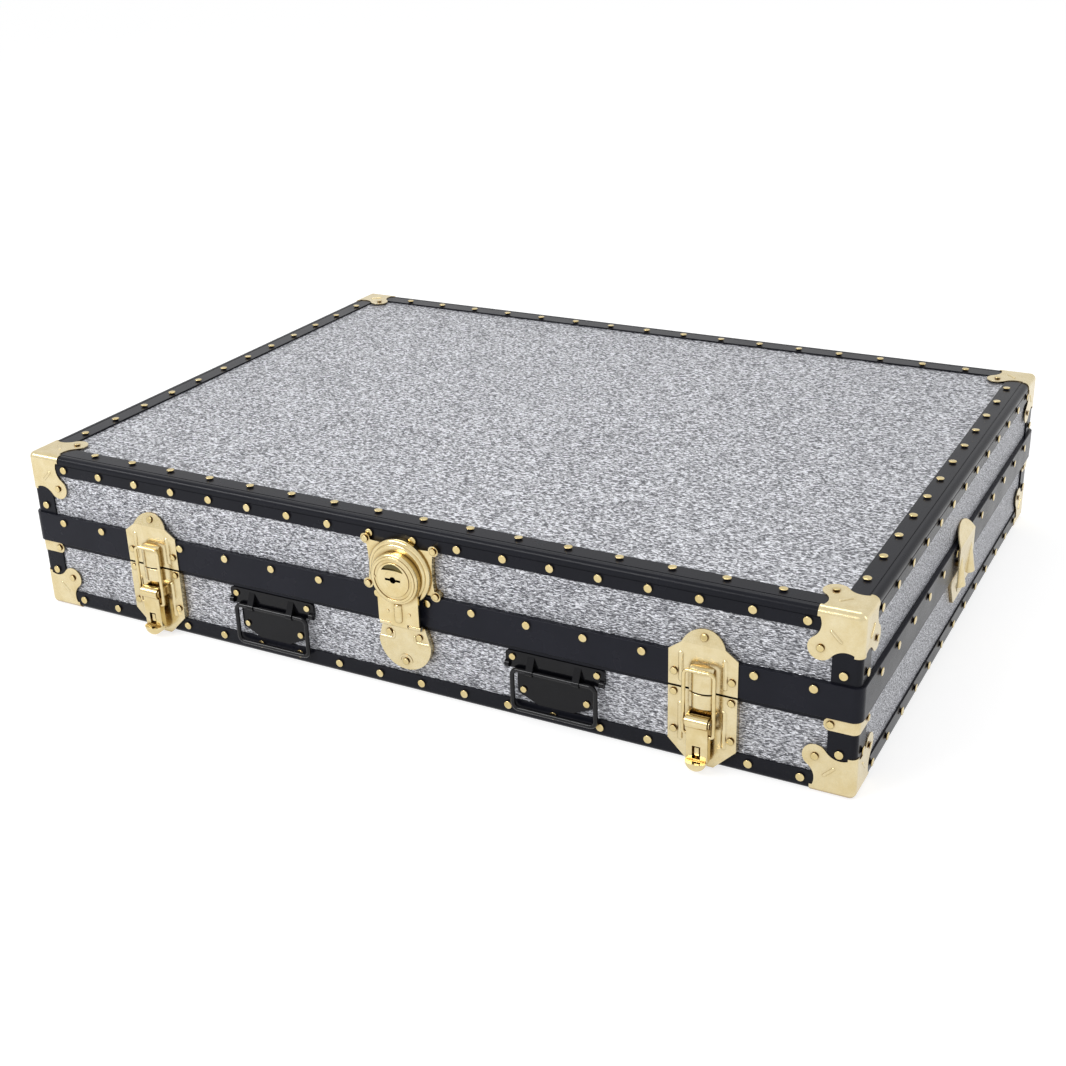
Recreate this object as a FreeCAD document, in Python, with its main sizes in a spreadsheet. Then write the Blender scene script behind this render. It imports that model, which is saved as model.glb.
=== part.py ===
import FreeCAD, Part
import math
import os
import Sketcher

from FreeCAD import Placement, Rotation, Vector

# A shallow travelling trunk: a plywood base and lid covered in embossed cloth,
# edged with dark moulded trim and brass corners, with a hasp lock, two draw
# bolts and two drop handles on the front. +X runs along the length to the
# right, the front faces -Y, +Z is up. The origin is under the middle of the
# whole, on the surface that the trunk stands on. All sizes are millimetres.

# Sizes

SIZES = (
    ("length", 912, "overall length over the edge trim"),
    ("width", 667, "overall width, front to back, over the edge trim"),
    ("height", 178, "top of the edge trim above the floor"),
    ("seam_gap", 0.3, "gap between lid and base at the seam"),
    ("overrun", 5, "how far a cutting block runs past what it cuts"),
    ("panel_thickness", 6, "plywood of every wall"),
    ("covering_thickness", 0.6, "embossed cloth glued on the outside"),
    ("lining_thickness", 0.4, "paper glued on the inside"),
    ("trim_thickness", 2, "edge trim, corner angles and rim strip"),
    ("nose_radius", 5.5, "round outer edge of the trim"),
    ("top_flange", 26, "trim lying on the top of the lid"),
    ("lid_flange", 20.8, "trim hanging down the lid's sides"),
    ("base_flange", 19, "trim of the base, up its sides and under it"),
    ("groove_depth", 0.6, "fine grooves moulded along the lid's trim"),
    ("groove_width", 1.2, "fine grooves moulded along the lid's trim"),
    ("groove_place", 7.6, "groove behind the round nose, from the edge"),
    ("angle_width", 26, "corner angle on each wall"),
    ("corner_relief", 7, "where the trim stops short of a corner's edge"),
    ("band_proud", 3, "band's face in front of the trim's face"),
    ("band_radius", 9.5, "band's bend round a corner"),
    ("band_clearance", 0.4, "moving band to the fixed pieces behind it"),
    ("band_edge_radius", 0.8, "softened long edges of the band"),
    ("brass_sheet", 0.9, "sheet of the corners and clips"),
    ("rib_width", 3.2, "pressed ribs of all the fittings"),
    ("rib_rise", 0.9, "pressed ribs above the sheet"),
    ("clip_arm", 30, "brass clip round a base corner, on each wall"),
    ("nail_radius", 4, "domed nail head"),
    ("nail_rise", 1.9, "domed nail head"),
    ("rivet_radius", 3.3, "domed rivet head of the fittings"),
    ("rivet_rise", 1.5, "domed rivet head of the fittings"),
    ("top_row_inset", 19, "nail row on the top, from the edge"),
    ("lid_row_drop", 13, "nail row on the lid's side trim, from the top"),
    ("top_row_pitch", 50.6, "nails on the top trim"),
    ("top_row_start", 76.5, "first nail along the top trim, from the trunk's end"),
    ("top_end_row_start", 67.3, "first nail across each end of the top, from the front"),
    ("side_row_pitch", 48, "nails on the side trim and the base trim"),
    ("row_clearance", 8, "first nail of the side trim beyond a brass corner's arm"),
    ("band_row_pitch", 58.5, "nails on the band"),
    ("band_row_start", 86, "first band nail beside the lock, from its centre"),
    ("lock_nail", 27.5, "band nails beside the hasp, from its centre"),
    ("band_inner_nail", 47.8, "band nail inside a draw bolt, from its centre"),
    ("band_outer_nail", 57, "band nail outside a draw bolt, from its centre"),
    ("band_last_nail", 39, "last band nail at the front and the back, from the trunk's end"),
    ("band_end_start", 48.5, "first band nail of an end wall, from the front"),
    ("band_end_pitch", 52, "nails on the band of an end wall"),
    ("angle_nail_inset", 15, "nail on a corner angle, from the edge"),
    ("fittings_shift", 10.5, "lock, draw bolts and handles right of the trunk's middle"),
    ("fitting_sheet", 1.2, "sheet of the lock, bolts, handles and dowels"),
    ("running_gap", 0.05, "radial clearance of a pin in a moving piece"),
    ("side_gap", 0.4, "clearance beside a moving piece"),
    ("bolt_inset", 149, "draw bolt's centre from the trunk's end"),
    ("bolt_reach", 24, "draw bolt's knob in front of the trim's face"),
    ("bolt_width", 65, "draw bolt's plates"),
    ("catch_bend_width", 41, "upper plate at its bend line"),
    ("hood_width", 22, "raised hoods of the draw bolt"),
    ("hood_rise", 7, "upper hood above its plate"),
    ("hood_round", 6, "rounded crest of the upper hood"),
    ("hood_bulge", 3, "front of a hood in front of its sides"),
    ("hood_edge", 1.2, "softened top of the lower hood"),
    ("bolt_tip_width", 23, "tip of the lower plate"),
    ("bolt_rib_place", 20.5, "long ribs, from the bolt's centre"),
    ("bolt_rib_width", 5, "long ribs of the draw bolt"),
    ("bolt_rib_rise", 1.2, "long ribs above their plate"),
    ("bolt_rivet_place", 27, "rivets, from the bolt's centre"),
    ("bolt_rib_inset", 4, "ribs above the upper plate's edge"),
    ("bail_wire", 3.6, "draw bolt's wire loop"),
    ("bail_span", 28.6, "draw bolt's wire loop between wire centres"),
    ("bail_bend", 5, "loop's bends, to the wire's centre"),
    ("bail_low_bend", 3, "loop's bends beside the lever"),
    ("bail_stub", 8, "loop's ends in the lever"),
    ("lever_width", 20.6, "draw bolt's lever"),
    ("lever_head", 6.3, "round head of the lever"),
    ("lever_back", 4, "lever's back behind its pivot"),
    ("lever_face", 3.6, "lever's face in front of its pivot"),
    ("lever_round", 1.4, "softened edges of the lever"),
    ("slot_width", 8, "slot in the lever"),
    ("latch_width", 4, "latch tongue seen in the slot"),
    ("latch_set", 1.4, "latch tongue behind the lever's face"),
    ("knob_radius", 10, "half-round finger knob"),
    ("knob_round", 6.5, "softened edge of the knob"),
    ("ear_radius", 4.5, "ears that hold the lever's pin"),
    ("pin_radius", 1.5, "pins of the lever, the hasp and the back hinges"),
    ("lock_ring_radius", 34, "outer step of the housing"),
    ("lock_ring_rise", 4, "outer step above the plate"),
    ("lock_step_radius", 30, "inner step of the housing"),
    ("lock_step_rise", 5.6, "inner step above the plate"),
    ("lug_span", 75, "lock plate's rivets, left to right"),
    ("lug_radius", 5.2, "lugs of the lock plate"),
    ("lug_waist", 35, "half width of the lock plate between its lugs"),
    ("lug_dip", 1.5, "hollow of the plate's top and bottom between its lugs"),
    ("arch_radius", 7.5, "arched rib round the bottom screw"),
    ("hasp_radius", 26, "round head of the hasp"),
    ("hasp_sheet", 2.2, "flat stem of the hasp"),
    ("hasp_rise", 5, "round head above the stem's face"),
    ("hasp_rim", 2.6, "raised rim of the head"),
    ("hasp_rim_rise", 1, "raised rim of the head"),
    ("hasp_width", 45, "stem of the hasp"),
    ("dial_radius", 17.5, "raised dial round the key plug"),
    ("dial_rise", 0.9, "raised dial round the key plug"),
    ("crescent_depth", 2, "crescent cut into the dial"),
    ("plug_radius", 9, "turning key plug"),
    ("plug_depth", 4, "turning key plug"),
    ("stud_radius", 1.6, "small rivets in the hasp"),
    ("stud_rise", 0.5, "small rivets in the hasp"),
    ("stem_stud_place", 12, "rivets beside the thumb rib"),
    ("head_stud_place", 21, "rivets beside the dial"),
    ("keyhole_radius", 3.4, "round of the keyhole"),
    ("keyhole_length", 17, "slot of the keyhole"),
    ("keyhole_width", 2.4, "slot of the keyhole"),
    ("catch_rib_length", 22, "raised thumb rib on the stem"),
    ("catch_rib_width", 9, "raised thumb rib on the stem"),
    ("catch_rib_rise", 3.4, "raised thumb rib on the stem"),
    ("lock_knuckle", 2.8, "knuckles round the hasp's pin"),
    ("hasp_pin_set", 1.6, "hasp's pin behind the back of its stem"),
    ("tongue_width", 58, "lock's lower plate"),
    ("tongue_top_width", 47, "lower plate below the hasp's hinge"),
    ("tongue_screw_place", 17, "upper screws of the lower plate"),
    ("handle_offset", 6.5, "handle's centre beyond halfway from the lock to a draw bolt"),
    ("handle_width", 102, "handle plate between its outer ends"),
    ("handle_lower_width", 78, "plate below the pivot bar"),
    ("handle_foot_width", 36, "foot of the plate"),
    ("handle_corner", 3.5, "rounded corners of the handle plate"),
    ("handle_rivet_span", 87, "upper rivets"),
    ("handle_low_rivet_span", 65.5, "lower rivets"),
    ("grip_wire", 4.6, "wire of the handle's grip"),
    ("grip_span", 86, "grip between wire centres"),
    ("grip_bend", 6, "grip's bends, to the wire's centre"),
    ("grip_gap", 1.2, "grip in front of its plate, clear of the base's nails"),
    ("loop_place", 24, "plate's loops over the bar, from the centre"),
    ("loop_width", 7, "plate's loops over the bar"),
    ("stop_length", 4.5, "curled stops at the plate's ends"),
    ("stop_radius", 3.6, "curled stops at the plate's ends"),
    ("dowel_width", 60, "end dowel's upper plate"),
    ("dowel_shift", 5, "end dowels behind the middle of the end walls"),
    ("dowel_standoff", 3, "end dowel's upper plate in front of the band"),
    ("tongue_place", 19, "end dowel's tongues, from its centre"),
    ("tongue_boss_width", 17.5, "end dowel's tongues"),
    ("tongue_boss_rise", 5.4, "pressed tongues above their plate"),
    ("socket_width", 60, "end dowel's lower plate"),
    ("socket_tip_width", 34, "foot of the lower plate"),
    ("hinge_width", 56, "back hinges"),
    ("hinge_inset", 156, "outer back hinges, from the trunk's end"),
    ("hinge_leaf", 17.5, "leaf of a back hinge above and below its pin"),
    ("hinge_leaf_thickness", 1.5, "leaf of a back hinge"),
    ("hinge_corner", 4, "rounded corners of a back hinge"),
    ("hinge_knuckle", 2.5, "knuckle of a back hinge"),
    ("hinge_gap", 0.3, "knuckle to the strip behind it"),
    ("hinge_screw_place", 19, "screws of a back hinge, from its centre"),
    ("hinge_screw_drop", 10.5, "screws of a back hinge, from its pin"),
)

# Levels above the floor, and corner brass, all given as shares of the trunk's height

LEVEL_SHARES = (
    ("seam_height", 0.5, "plane where the lid leaves the base"),
    ("band_low", 0.43596, "lower edge of the dust band round the lid"),
    ("band_top", 0.62303, "upper edge of the dust band"),
    ("rim_strip_low", 0.41011, "lower edge of the strip that closes the base"),
    ("back_strip_low", 0.39775, "lower edge of the strip under the back hinges"),
    ("cap_arm", 0.22472, "brass corner along an edge"),
    ("cap_tab", 0.03933, "straight tab of a brass corner across an edge"),
    ("cap_lobe_place", 0.20225, "lobe's centre from both edges"),
    ("cap_lobe_radius", 0.06461, "lobe of a brass corner"),
    ("cap_neck_radius", 0.08989, "hollow curve between an arm and the lobe"),
    ("cap_step", 0.01404, "step between an arm's end and the hollow curve"),
    ("cap_rib_place", 0.12921, "pressed rib's centre from both edges"),
    ("cap_rib_length", 0.08427, "pressed rib of a brass corner"),
    ("clip_height", 0.06742, "brass clip round a base corner"),
    ("base_row_height", 0.07022, "nail row on the base trim, from the floor"),
    ("band_row_height", 0.58315, "nail row on the band, from the floor"),
    ("lid_angle_nail", 0.67416, "nail on a lid corner angle, from the floor"),
    ("base_angle_nail", 0.24438, "nail on a base corner angle, from the floor"),
    ("catch_low", 0.44045, "lower edge of the draw bolt's upper plate"),
    ("catch_shoulder", 0.63483, "where the upper plate starts to taper"),
    ("catch_bend", 0.68539, "bend line of the upper plate"),
    ("catch_top", 0.76404, "top of the upper plate's arch"),
    ("hood_top", 0.57584, "top of the upper hood"),
    ("bolt_plate_top", 0.43034, "top of the draw bolt's lower plate"),
    ("bolt_plate_corner", 0.12921, "where the lower plate starts to taper"),
    ("bolt_plate_low", 0.01124, "tip of the lower plate"),
    ("saddle_low", 0.35112, "lower edge of the lower hood"),
    ("bolt_rivet_low", 0.1882, "lower rivets of the lower plate"),
    ("bolt_rivet_top", 0.40281, "upper rivets of the lower plate"),
    ("catch_rivet_height", 0.51685, "rivets of the upper plate"),
    ("bail_top", 0.56742, "loop's top bar"),
    ("bail_pivot", 0.21348, "where the loop hinges in the lever"),
    ("lever_pivot", 0.28652, "where the lever hinges on the lower plate"),
    ("lever_low", 0.07303, "lower end of the lever's face"),
    ("slot_low", 0.08427, "slot in the lever"),
    ("slot_top", 0.1573, "slot in the lever"),
    ("latch_low", 0.10112, "latch tongue seen in the lever's slot"),
    ("latch_top", 0.14607, "latch tongue seen in the lever's slot"),
    ("knob_top", 0.07584, "flat top of the knob"),
    ("lock_ring_height", 0.74157, "centre of the lock's round housing"),
    ("lug_rise", 0.26404, "lock plate's rivets, bottom to top"),
    ("lug_centre", 0.76573, "middle of the lock plate's rivets"),
    ("hasp_height", 0.72472, "centre of the hasp's round head"),
    ("lock_hinge_height", 0.43539, "pin between hasp and lower plate"),
    ("tongue_top", 0.42697, "lock's lower plate"),
    ("tongue_round", 0.31461, "where the lower plate starts to round off"),
    ("tongue_screw_height", 0.36517, "upper screws of the lower plate"),
    ("tongue_low_screw", 0.20225, "bottom screw of the lower plate"),
    ("handle_top", 0.4073, "top of the handle plate"),
    ("handle_step", 0.30899, "where the plate narrows"),
    ("strap_top", 0.39326, "where the plate's straps end"),
    ("handle_taper", 0.16854, "where the plate turns in to its foot"),
    ("handle_low", 0.11517, "foot of the plate"),
    ("handle_rivet_height", 0.3736, "upper rivets"),
    ("handle_low_rivet_height", 0.19101, "lower rivets"),
    ("grip_pivot", 0.30899, "pivot bar of the grip"),
    ("grip_low", 0.07584, "lower bar of the grip"),
    ("dowel_shoulder", 0.60674, "where the upper plate starts to round off"),
    ("dowel_bend", 0.61236, "bend line of the upper plate"),
    ("dowel_top", 0.70787, "top of the upper plate"),
    ("dowel_low", 0.34831, "lower edge of the upper plate between its tongues"),
    ("tongue_boss_low", 0.36517, "tips of the tongues"),
    ("tongue_boss_top", 0.55056, "top of the pressed tongues"),
    ("socket_low", 0.23596, "foot of the lower plate"),
)

KNUCKLE_SHARE = 0.4          # of a hinge's width, for its middle knuckle
RING_ROUND_SHARES = (0.8, 0.45)  # of each step's rise, for the lock housing's rounding
CRESCENT_SHARES = (0.56, 0.93)   # inner and outer reach of the crescent, of the dial's radius
CRESCENT_TIP_SHARES = (0.69, 0.5)    # across and up to the crescent's tips, of the dial's radius

doc = FreeCAD.newDocument("trunk")
sheet = doc.addObject("Spreadsheet::Sheet", "sizes")
ENTRIES = [(alias, str(value), meaning) for alias, value, meaning in SIZES]
ENTRIES += [(alias, f"={share} * height", meaning) for alias, share, meaning in LEVEL_SHARES]
for row, (alias, content, meaning) in enumerate(ENTRIES, start=1):
    sheet.set(f"A{row}", meaning)
    sheet.setAlias(f"B{row}", alias)
    sheet.set(f"B{row}", content)
doc.recompute()

# Planes and insets that several pieces share

LEFT, RIGHT = "(-sizes.length / 2)", "(sizes.length / 2)"
FRONT, BACK = "(-sizes.width / 2)", "(sizes.width / 2)"
BOTTOM, TOP = "sizes.brass_sheet", "sizes.height"
SEAM = "sizes.seam_height"
LID_SEAM = "(sizes.seam_height + sizes.seam_gap)"
TRIM = "sizes.trim_thickness"
SKIN = "(sizes.trim_thickness + sizes.covering_thickness)"
WALL = f"({SKIN} + sizes.panel_thickness)"
LINED = f"({WALL} + sizes.lining_thickness)"
BACK_REACH = "(sizes.band_proud + sizes.hinge_gap + 2 * sizes.hinge_knuckle)"
CARCASS_Y = f"((sizes.bolt_reach - {BACK_REACH}) / 2)"

nodes = []


def mm(expression):
    """Value of an expression in the names of the sizes."""
    return float(sheet.evalExpression(expression))


def size(alias):
    return float(sheet.get(alias))


def keep(node, label):
    """Name a finished piece and set the carcass midway between its fittings."""
    node.Label = label
    own = [text for path, text in node.ExpressionEngine if path.strip(".") == "Placement.Base.y"]
    node.setExpression("Placement.Base.y", " + ".join(own + [CARCASS_Y]))
    nodes.append(node)


def keep_shapes(label, shapes):
    """Keep a piece whose form is made from the sizes with Part's own functions."""
    feature = doc.addObject("Part::Feature", label)
    feature.Shape = Part.Compound(shapes)
    keep(feature, label)


def block(name, x, y, z):
    """Box between two expressions along each axis."""
    box = doc.addObject("Part::Box", name)
    for axis, side, (low, high) in zip("xyz", ("Length", "Width", "Height"), (x, y, z)):
        box.setExpression(side, f"({high}) - ({low})")
        box.setExpression(f"Placement.Base.{axis}", low)
    return box


def carcass_block(name, inset, low, high):
    """Box as long and wide as the trunk less an inset all round."""
    return block(name, (f"({LEFT} + {inset})", f"({RIGHT} - {inset})"),
                 (f"({FRONT} + {inset})", f"({BACK} - {inset})"), (low, high))


def boolean(kind, name, base, tool):
    result = doc.addObject(f"Part::{kind}", name)
    result.Base = base
    result.Tool = tool
    return result


# Plywood panels: floor or top over the full plan, long walls, then short walls between

def walls(part, low, high):
    """Four plywood walls between two heights."""
    long_x = (f"({LEFT} + {SKIN})", f"({RIGHT} - {SKIN})")
    short_y = (f"({FRONT} + {WALL})", f"({BACK} - {WALL})")
    sides = {
        "front": (long_x, (f"({FRONT} + {SKIN})", f"({FRONT} + {WALL})")),
        "back": (long_x, (f"({BACK} - {WALL})", f"({BACK} - {SKIN})")),
        "left": ((f"({LEFT} + {SKIN})", f"({LEFT} + {WALL})"), short_y),
        "right": ((f"({RIGHT} - {WALL})", f"({RIGHT} - {SKIN})"), short_y),
    }
    for side, (x, y) in sides.items():
        keep(block(f"{part}_{side}_board", x, y, (low, high)), f"{part}_{side}_panel")


FLOOR_LOW = f"({BOTTOM} + {SKIN})"
FLOOR_TOP = f"({FLOOR_LOW} + sizes.panel_thickness)"
CEILING_TOP = f"({TOP} - {SKIN})"
CEILING_LOW = f"({CEILING_TOP} - sizes.panel_thickness)"

keep(carcass_block("floor_board", SKIN, FLOOR_LOW, FLOOR_TOP), "base_floor_panel")
keep(carcass_block("top_board", SKIN, CEILING_LOW, CEILING_TOP), "lid_top_panel")
walls("base", FLOOR_TOP, SEAM)
walls("lid", LID_SEAM, CEILING_LOW)

# Cloth over the outside and paper over the inside, each an open box

PAST_SEAM = f"({SEAM} + sizes.overrun)"
UNDER_SEAM = f"({LID_SEAM} - sizes.overrun)"
LINING = "sizes.lining_thickness"

keep(boolean("Cut", "base_cloth",
             carcass_block("base_cloth_outside", TRIM, f"({BOTTOM} + {TRIM})", SEAM),
             carcass_block("base_cloth_inside", SKIN, FLOOR_LOW, PAST_SEAM)), "base_covering")
keep(boolean("Cut", "lid_cloth",
             carcass_block("lid_cloth_outside", TRIM, LID_SEAM, f"({TOP} - {TRIM})"),
             carcass_block("lid_cloth_inside", SKIN, UNDER_SEAM, CEILING_TOP)), "lid_covering")
keep(boolean("Cut", "base_paper",
             carcass_block("base_paper_outside", WALL, FLOOR_TOP, SEAM),
             carcass_block("base_paper_inside", LINED, f"({FLOOR_TOP} + {LINING})", PAST_SEAM)),
     "base_lining")
keep(boolean("Cut", "lid_paper",
             carcass_block("lid_paper_outside", WALL, LID_SEAM, CEILING_LOW),
             carcass_block("lid_paper_inside", LINED, UNDER_SEAM, f"({CEILING_LOW} - {LINING})")),
     "lid_lining")

# Edge trim: moulded angles mitred at the corners


def origin_plane(body, role):
    return next(plane for plane in body.Origin.OriginFeatures if plane.Role == role)


def outline_sketch(body, role, name, points):
    """Closed outline whose corners are each tied to a pair of expressions."""
    sketch = body.newObject("Sketcher::SketchObject", name)
    sketch.AttachmentSupport = [(origin_plane(body, role), "")]
    sketch.MapMode = "FlatFace"
    corners = [Vector(mm(across), mm(up), 0) for across, up in points]
    for start, end in zip(corners, corners[1:] + corners[:1]):
        sketch.addGeometry(Part.LineSegment(start, end), False)
    count = len(points)
    for index in range(count):
        sketch.addConstraint(Sketcher.Constraint("Coincident", index, 2, (index + 1) % count, 1))
    for index, (across, up) in enumerate(points):
        for kind, expression in (("DistanceX", across), ("DistanceY", up)):
            tie = sketch.addConstraint(Sketcher.Constraint(kind, -1, 1, index, 1, mm(expression)))
            sketch.setExpression(f"Constraints[{tie}]", expression)
    return sketch


def edges_near(shape, test):
    """Names of the edges whose middle passes a test."""
    return [f"Edge{index}" for index, edge in enumerate(shape.Edges, start=1) if test(edge)]


def rounded(body, feature, names, radius):
    fillet = body.newObject("PartDesign::Fillet", f"{body.Name}_round")
    fillet.Base = (feature, names)
    fillet.setExpression("Radius", radius)
    body.Tip = fillet
    doc.recompute()
    return fillet


def padded(body, sketch, length, both_ways=True):
    pad = body.newObject("PartDesign::Pad", f"{body.Name}_pad")
    pad.Profile = sketch
    pad.Midplane = both_ways
    pad.setExpression("Length", length)
    body.Tip = pad
    doc.recompute()
    return pad


def trim_bar(part, side, profile, edge_height):
    """Straight bar of trim, square at its ends, with its long outer edge rounded."""
    name = f"{part}_{side}_bar"
    body = doc.addObject("PartDesign::Body", name)
    along_x = side in ("front", "back")
    outer = {"front": FRONT, "back": BACK, "left": LEFT, "right": RIGHT}[side]
    sign = "+" if side in ("front", "left") else "-"
    points = [(f"{outer} {sign} {inward}", up) for inward, up in profile]
    sketch = outline_sketch(body, "YZ_Plane" if along_x else "XZ_Plane", f"{name}_profile", points)
    span = "sizes.length" if along_x else "sizes.width"
    pad = padded(body, sketch, f"{span} - 2 * sizes.corner_relief")
    place, level = mm(outer), mm(edge_height)

    def outer_edge(edge):
        middle = edge.CenterOfMass
        across = middle.y if along_x else middle.x
        return abs(across - place) < TOUCH and abs(middle.z - level) < TOUCH

    rounded(body, pad, edges_near(pad.Shape, outer_edge), "sizes.nose_radius")
    return body


def mitre_wedge(name, side):
    """Block that widens outwards along the plan's diagonals, to cut mitres."""
    wedge = doc.addObject("Part::Wedge", name)
    past = "(sizes.band_proud + sizes.overrun)"
    reach = "(sizes.top_flange + sizes.base_flange)"
    near, far = (f"{FRONT} - {past}", f"{FRONT} + {reach}") if side == "front" else (
        f"{BACK} - {reach}", f"{BACK} + {past}")
    wide = (f"{LEFT} - {past}", f"{RIGHT} + {past}")
    narrow = (f"{LEFT} + {reach}", f"{RIGHT} - {reach}")
    first, second = (wide, narrow) if side == "front" else (narrow, wide)
    values = {"Xmin": first[0], "Xmax": first[1], "X2min": second[0], "X2max": second[1],
              "Ymin": near, "Ymax": far, "Zmin": "-sizes.overrun", "Z2min": "-sizes.overrun",
              "Zmax": f"{TOP} + sizes.overrun", "Z2max": f"{TOP} + sizes.overrun"}
    for key, expression in values.items():
        wedge.setExpression(key, expression)
    return wedge


def mitred(name, side, piece):
    """The part of a piece that lies on one side of the plan's diagonals."""
    if side in ("front", "back"):
        return boolean("Common", name, piece, wedges[side])
    return boolean("Cut", name, boolean("Cut", f"{name}_front_cut", piece, wedges["front"]), wedges["back"])


TOUCH = 0.001                # how close two places count as one
wedges = {side: mitre_wedge(f"{side}_mitre", side) for side in ("front", "back")}
GROOVE, GROOVE_END = "sizes.groove_place", "(sizes.groove_place + sizes.groove_width)"
LID_FLANGE_LOW = f"({TOP} - sizes.lid_flange)"
BASE_FLANGE_TOP = f"({BOTTOM} + sizes.base_flange)"
LID_PROFILE = (
    ("0", LID_FLANGE_LOW), ("0", f"{TOP} - {GROOVE_END}"),
    ("sizes.groove_depth", f"{TOP} - {GROOVE_END}"), ("sizes.groove_depth", f"{TOP} - {GROOVE}"),
    ("0", f"{TOP} - {GROOVE}"), ("0", TOP), (GROOVE, TOP), (GROOVE, f"{TOP} - sizes.groove_depth"),
    (GROOVE_END, f"{TOP} - sizes.groove_depth"), (GROOVE_END, TOP), ("sizes.top_flange", TOP),
    ("sizes.top_flange", f"{TOP} - {TRIM}"), (TRIM, f"{TOP} - {TRIM}"), (TRIM, LID_FLANGE_LOW),
)
BASE_PROFILE = (
    ("0", BASE_FLANGE_TOP), ("0", BOTTOM), ("sizes.base_flange", BOTTOM),
    ("sizes.base_flange", f"{BOTTOM} + {TRIM}"), (TRIM, f"{BOTTOM} + {TRIM}"), (TRIM, BASE_FLANGE_TOP),
)
for side in ("front", "back", "left", "right"):
    keep(mitred(f"lid_{side}_trim", side, trim_bar("lid", side, LID_PROFILE, TOP)),
         f"lid_{side}_binding")
    keep(mitred(f"base_{side}_trim", side, trim_bar("base", side, BASE_PROFILE, BOTTOM)),
         f"base_{side}_binding")

# Corner angles up the four walls' edges, and the strip that closes the base's rim


def mirrored(name, source, axis):
    mirror = doc.addObject("Part::Mirroring", name)
    mirror.Source = source
    mirror.Normal = axis
    return mirror


def group(name, members):
    compound = doc.addObject("Part::Compound", name)
    compound.Links = members
    return compound


def both_ends(name, piece):
    return group(f"{name}_pair", [piece, mirrored(f"{name}_other_end", piece, Vector(1, 0, 0))])


def four_corners(name, piece):
    pair = both_ends(name, piece)
    return group(f"{name}_four", [pair, mirrored(f"{name}_rear", pair, Vector(0, 1, 0))])


def corner_angle(name, low, high):
    """Upright angle round the left front corner."""
    body = doc.addObject("PartDesign::Body", name)
    profile = (("0", "0"), ("sizes.angle_width", "0"), ("sizes.angle_width", TRIM), (TRIM, TRIM),
               (TRIM, "sizes.angle_width"), ("0", "sizes.angle_width"))
    sketch = outline_sketch(body, "XY_Plane", f"{name}_profile",
                            [(f"{LEFT} + {across}", f"{FRONT} + {inward}") for across, inward in profile])
    sketch.setExpression("AttachmentOffset.Base.z", low)
    pad = padded(body, sketch, f"({high}) - ({low})", both_ways=False)
    corner = Vector(mm(LEFT), mm(FRONT), (mm(low) + mm(high)) / 2)
    rounded(body, pad, edges_near(pad.Shape, lambda edge: (edge.CenterOfMass - corner).Length < TOUCH),
            "sizes.nose_radius")
    return body


def rounded_block(name, inset, radius, low, high):
    """Block over the whole plan with rounded upright edges."""
    body = doc.addObject("PartDesign::Body", name)
    sides = ((f"{LEFT} + {inset}", f"{FRONT} + {inset}"), (f"{RIGHT} - {inset}", f"{FRONT} + {inset}"),
             (f"{RIGHT} - {inset}", f"{BACK} - {inset}"), (f"{LEFT} + {inset}", f"{BACK} - {inset}"))
    sketch = outline_sketch(body, "XY_Plane", f"{name}_plan", sides)
    sketch.setExpression("AttachmentOffset.Base.z", low)
    pad = padded(body, sketch, f"({high}) - ({low})", both_ways=False)
    middle = (mm(low) + mm(high)) / 2
    rounded(body, pad, edges_near(pad.Shape, lambda edge: abs(edge.CenterOfMass.z - middle) < TOUCH), radius)
    return body


keep(four_corners("lid_angle", corner_angle("lid_angle", "sizes.band_top", LID_FLANGE_LOW)),
     "lid_corner_bindings")
keep(four_corners("base_angle", corner_angle("base_angle", BASE_FLANGE_TOP, "sizes.rim_strip_low")),
     "base_corner_bindings")
keep(boolean("Cut", "rim_strip",
             rounded_block("rim_strip_block", "0", "sizes.nose_radius", "sizes.rim_strip_low", SEAM),
             carcass_block("rim_strip_hole", TRIM, "sizes.rim_strip_low - sizes.overrun", PAST_SEAM)),
     "base_rim_strip")

# Dust band: on the lid all round, hanging over the base's rim at the front and the ends

BAND_CAVITY = "(-sizes.band_clearance)"
band_block = rounded_block("band_block", "(-sizes.band_proud)", "sizes.band_radius",
                           "sizes.band_low", "sizes.band_top")
outer_rims = edges_near(band_block.Shape, lambda edge: abs(edge.CenterOfMass.z - mm("sizes.band_top")) < TOUCH
                        or abs(edge.CenterOfMass.z - mm("sizes.band_low")) < TOUCH)
rounded(band_block, band_block.Tip, outer_rims, "sizes.band_edge_radius")
band_over_rim = boolean(
    "Cut", "band_over_rim", band_block,
    rounded_block("band_cavity", BAND_CAVITY, "sizes.nose_radius + sizes.band_clearance",
                  "sizes.band_low - sizes.overrun", LID_SEAM))
band_ring = boolean("Cut", "band_ring", band_over_rim,
                    carcass_block("band_hole", TRIM, "sizes.band_low - sizes.overrun",
                                  "sizes.band_top + sizes.overrun"))
keep(mitred("band_front", "front", band_ring), "valance_front")
rear_corner = block("rear_corner", (f"{LEFT} - sizes.overrun", f"{RIGHT} + sizes.overrun"),
                    (f"{BACK} - sizes.corner_relief", f"{BACK} + sizes.band_proud + sizes.overrun"),
                    ("0", LID_SEAM))
keep(boolean("Cut", "band_ends", mitred("band_end_pieces", "sides", band_ring), rear_corner), "valance_sides")
below_seam = block("below_seam", (f"{LEFT} - sizes.overrun", f"{RIGHT} + sizes.overrun"),
                   ("0", f"{BACK} + sizes.band_proud + sizes.overrun"), ("0", LID_SEAM))
keep(boolean("Cut", "band_back", mitred("band_back_ring", "back", band_ring), below_seam), "lid_back_strip")
PAST_CLIP = "(sizes.clip_arm + sizes.side_gap)"
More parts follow.
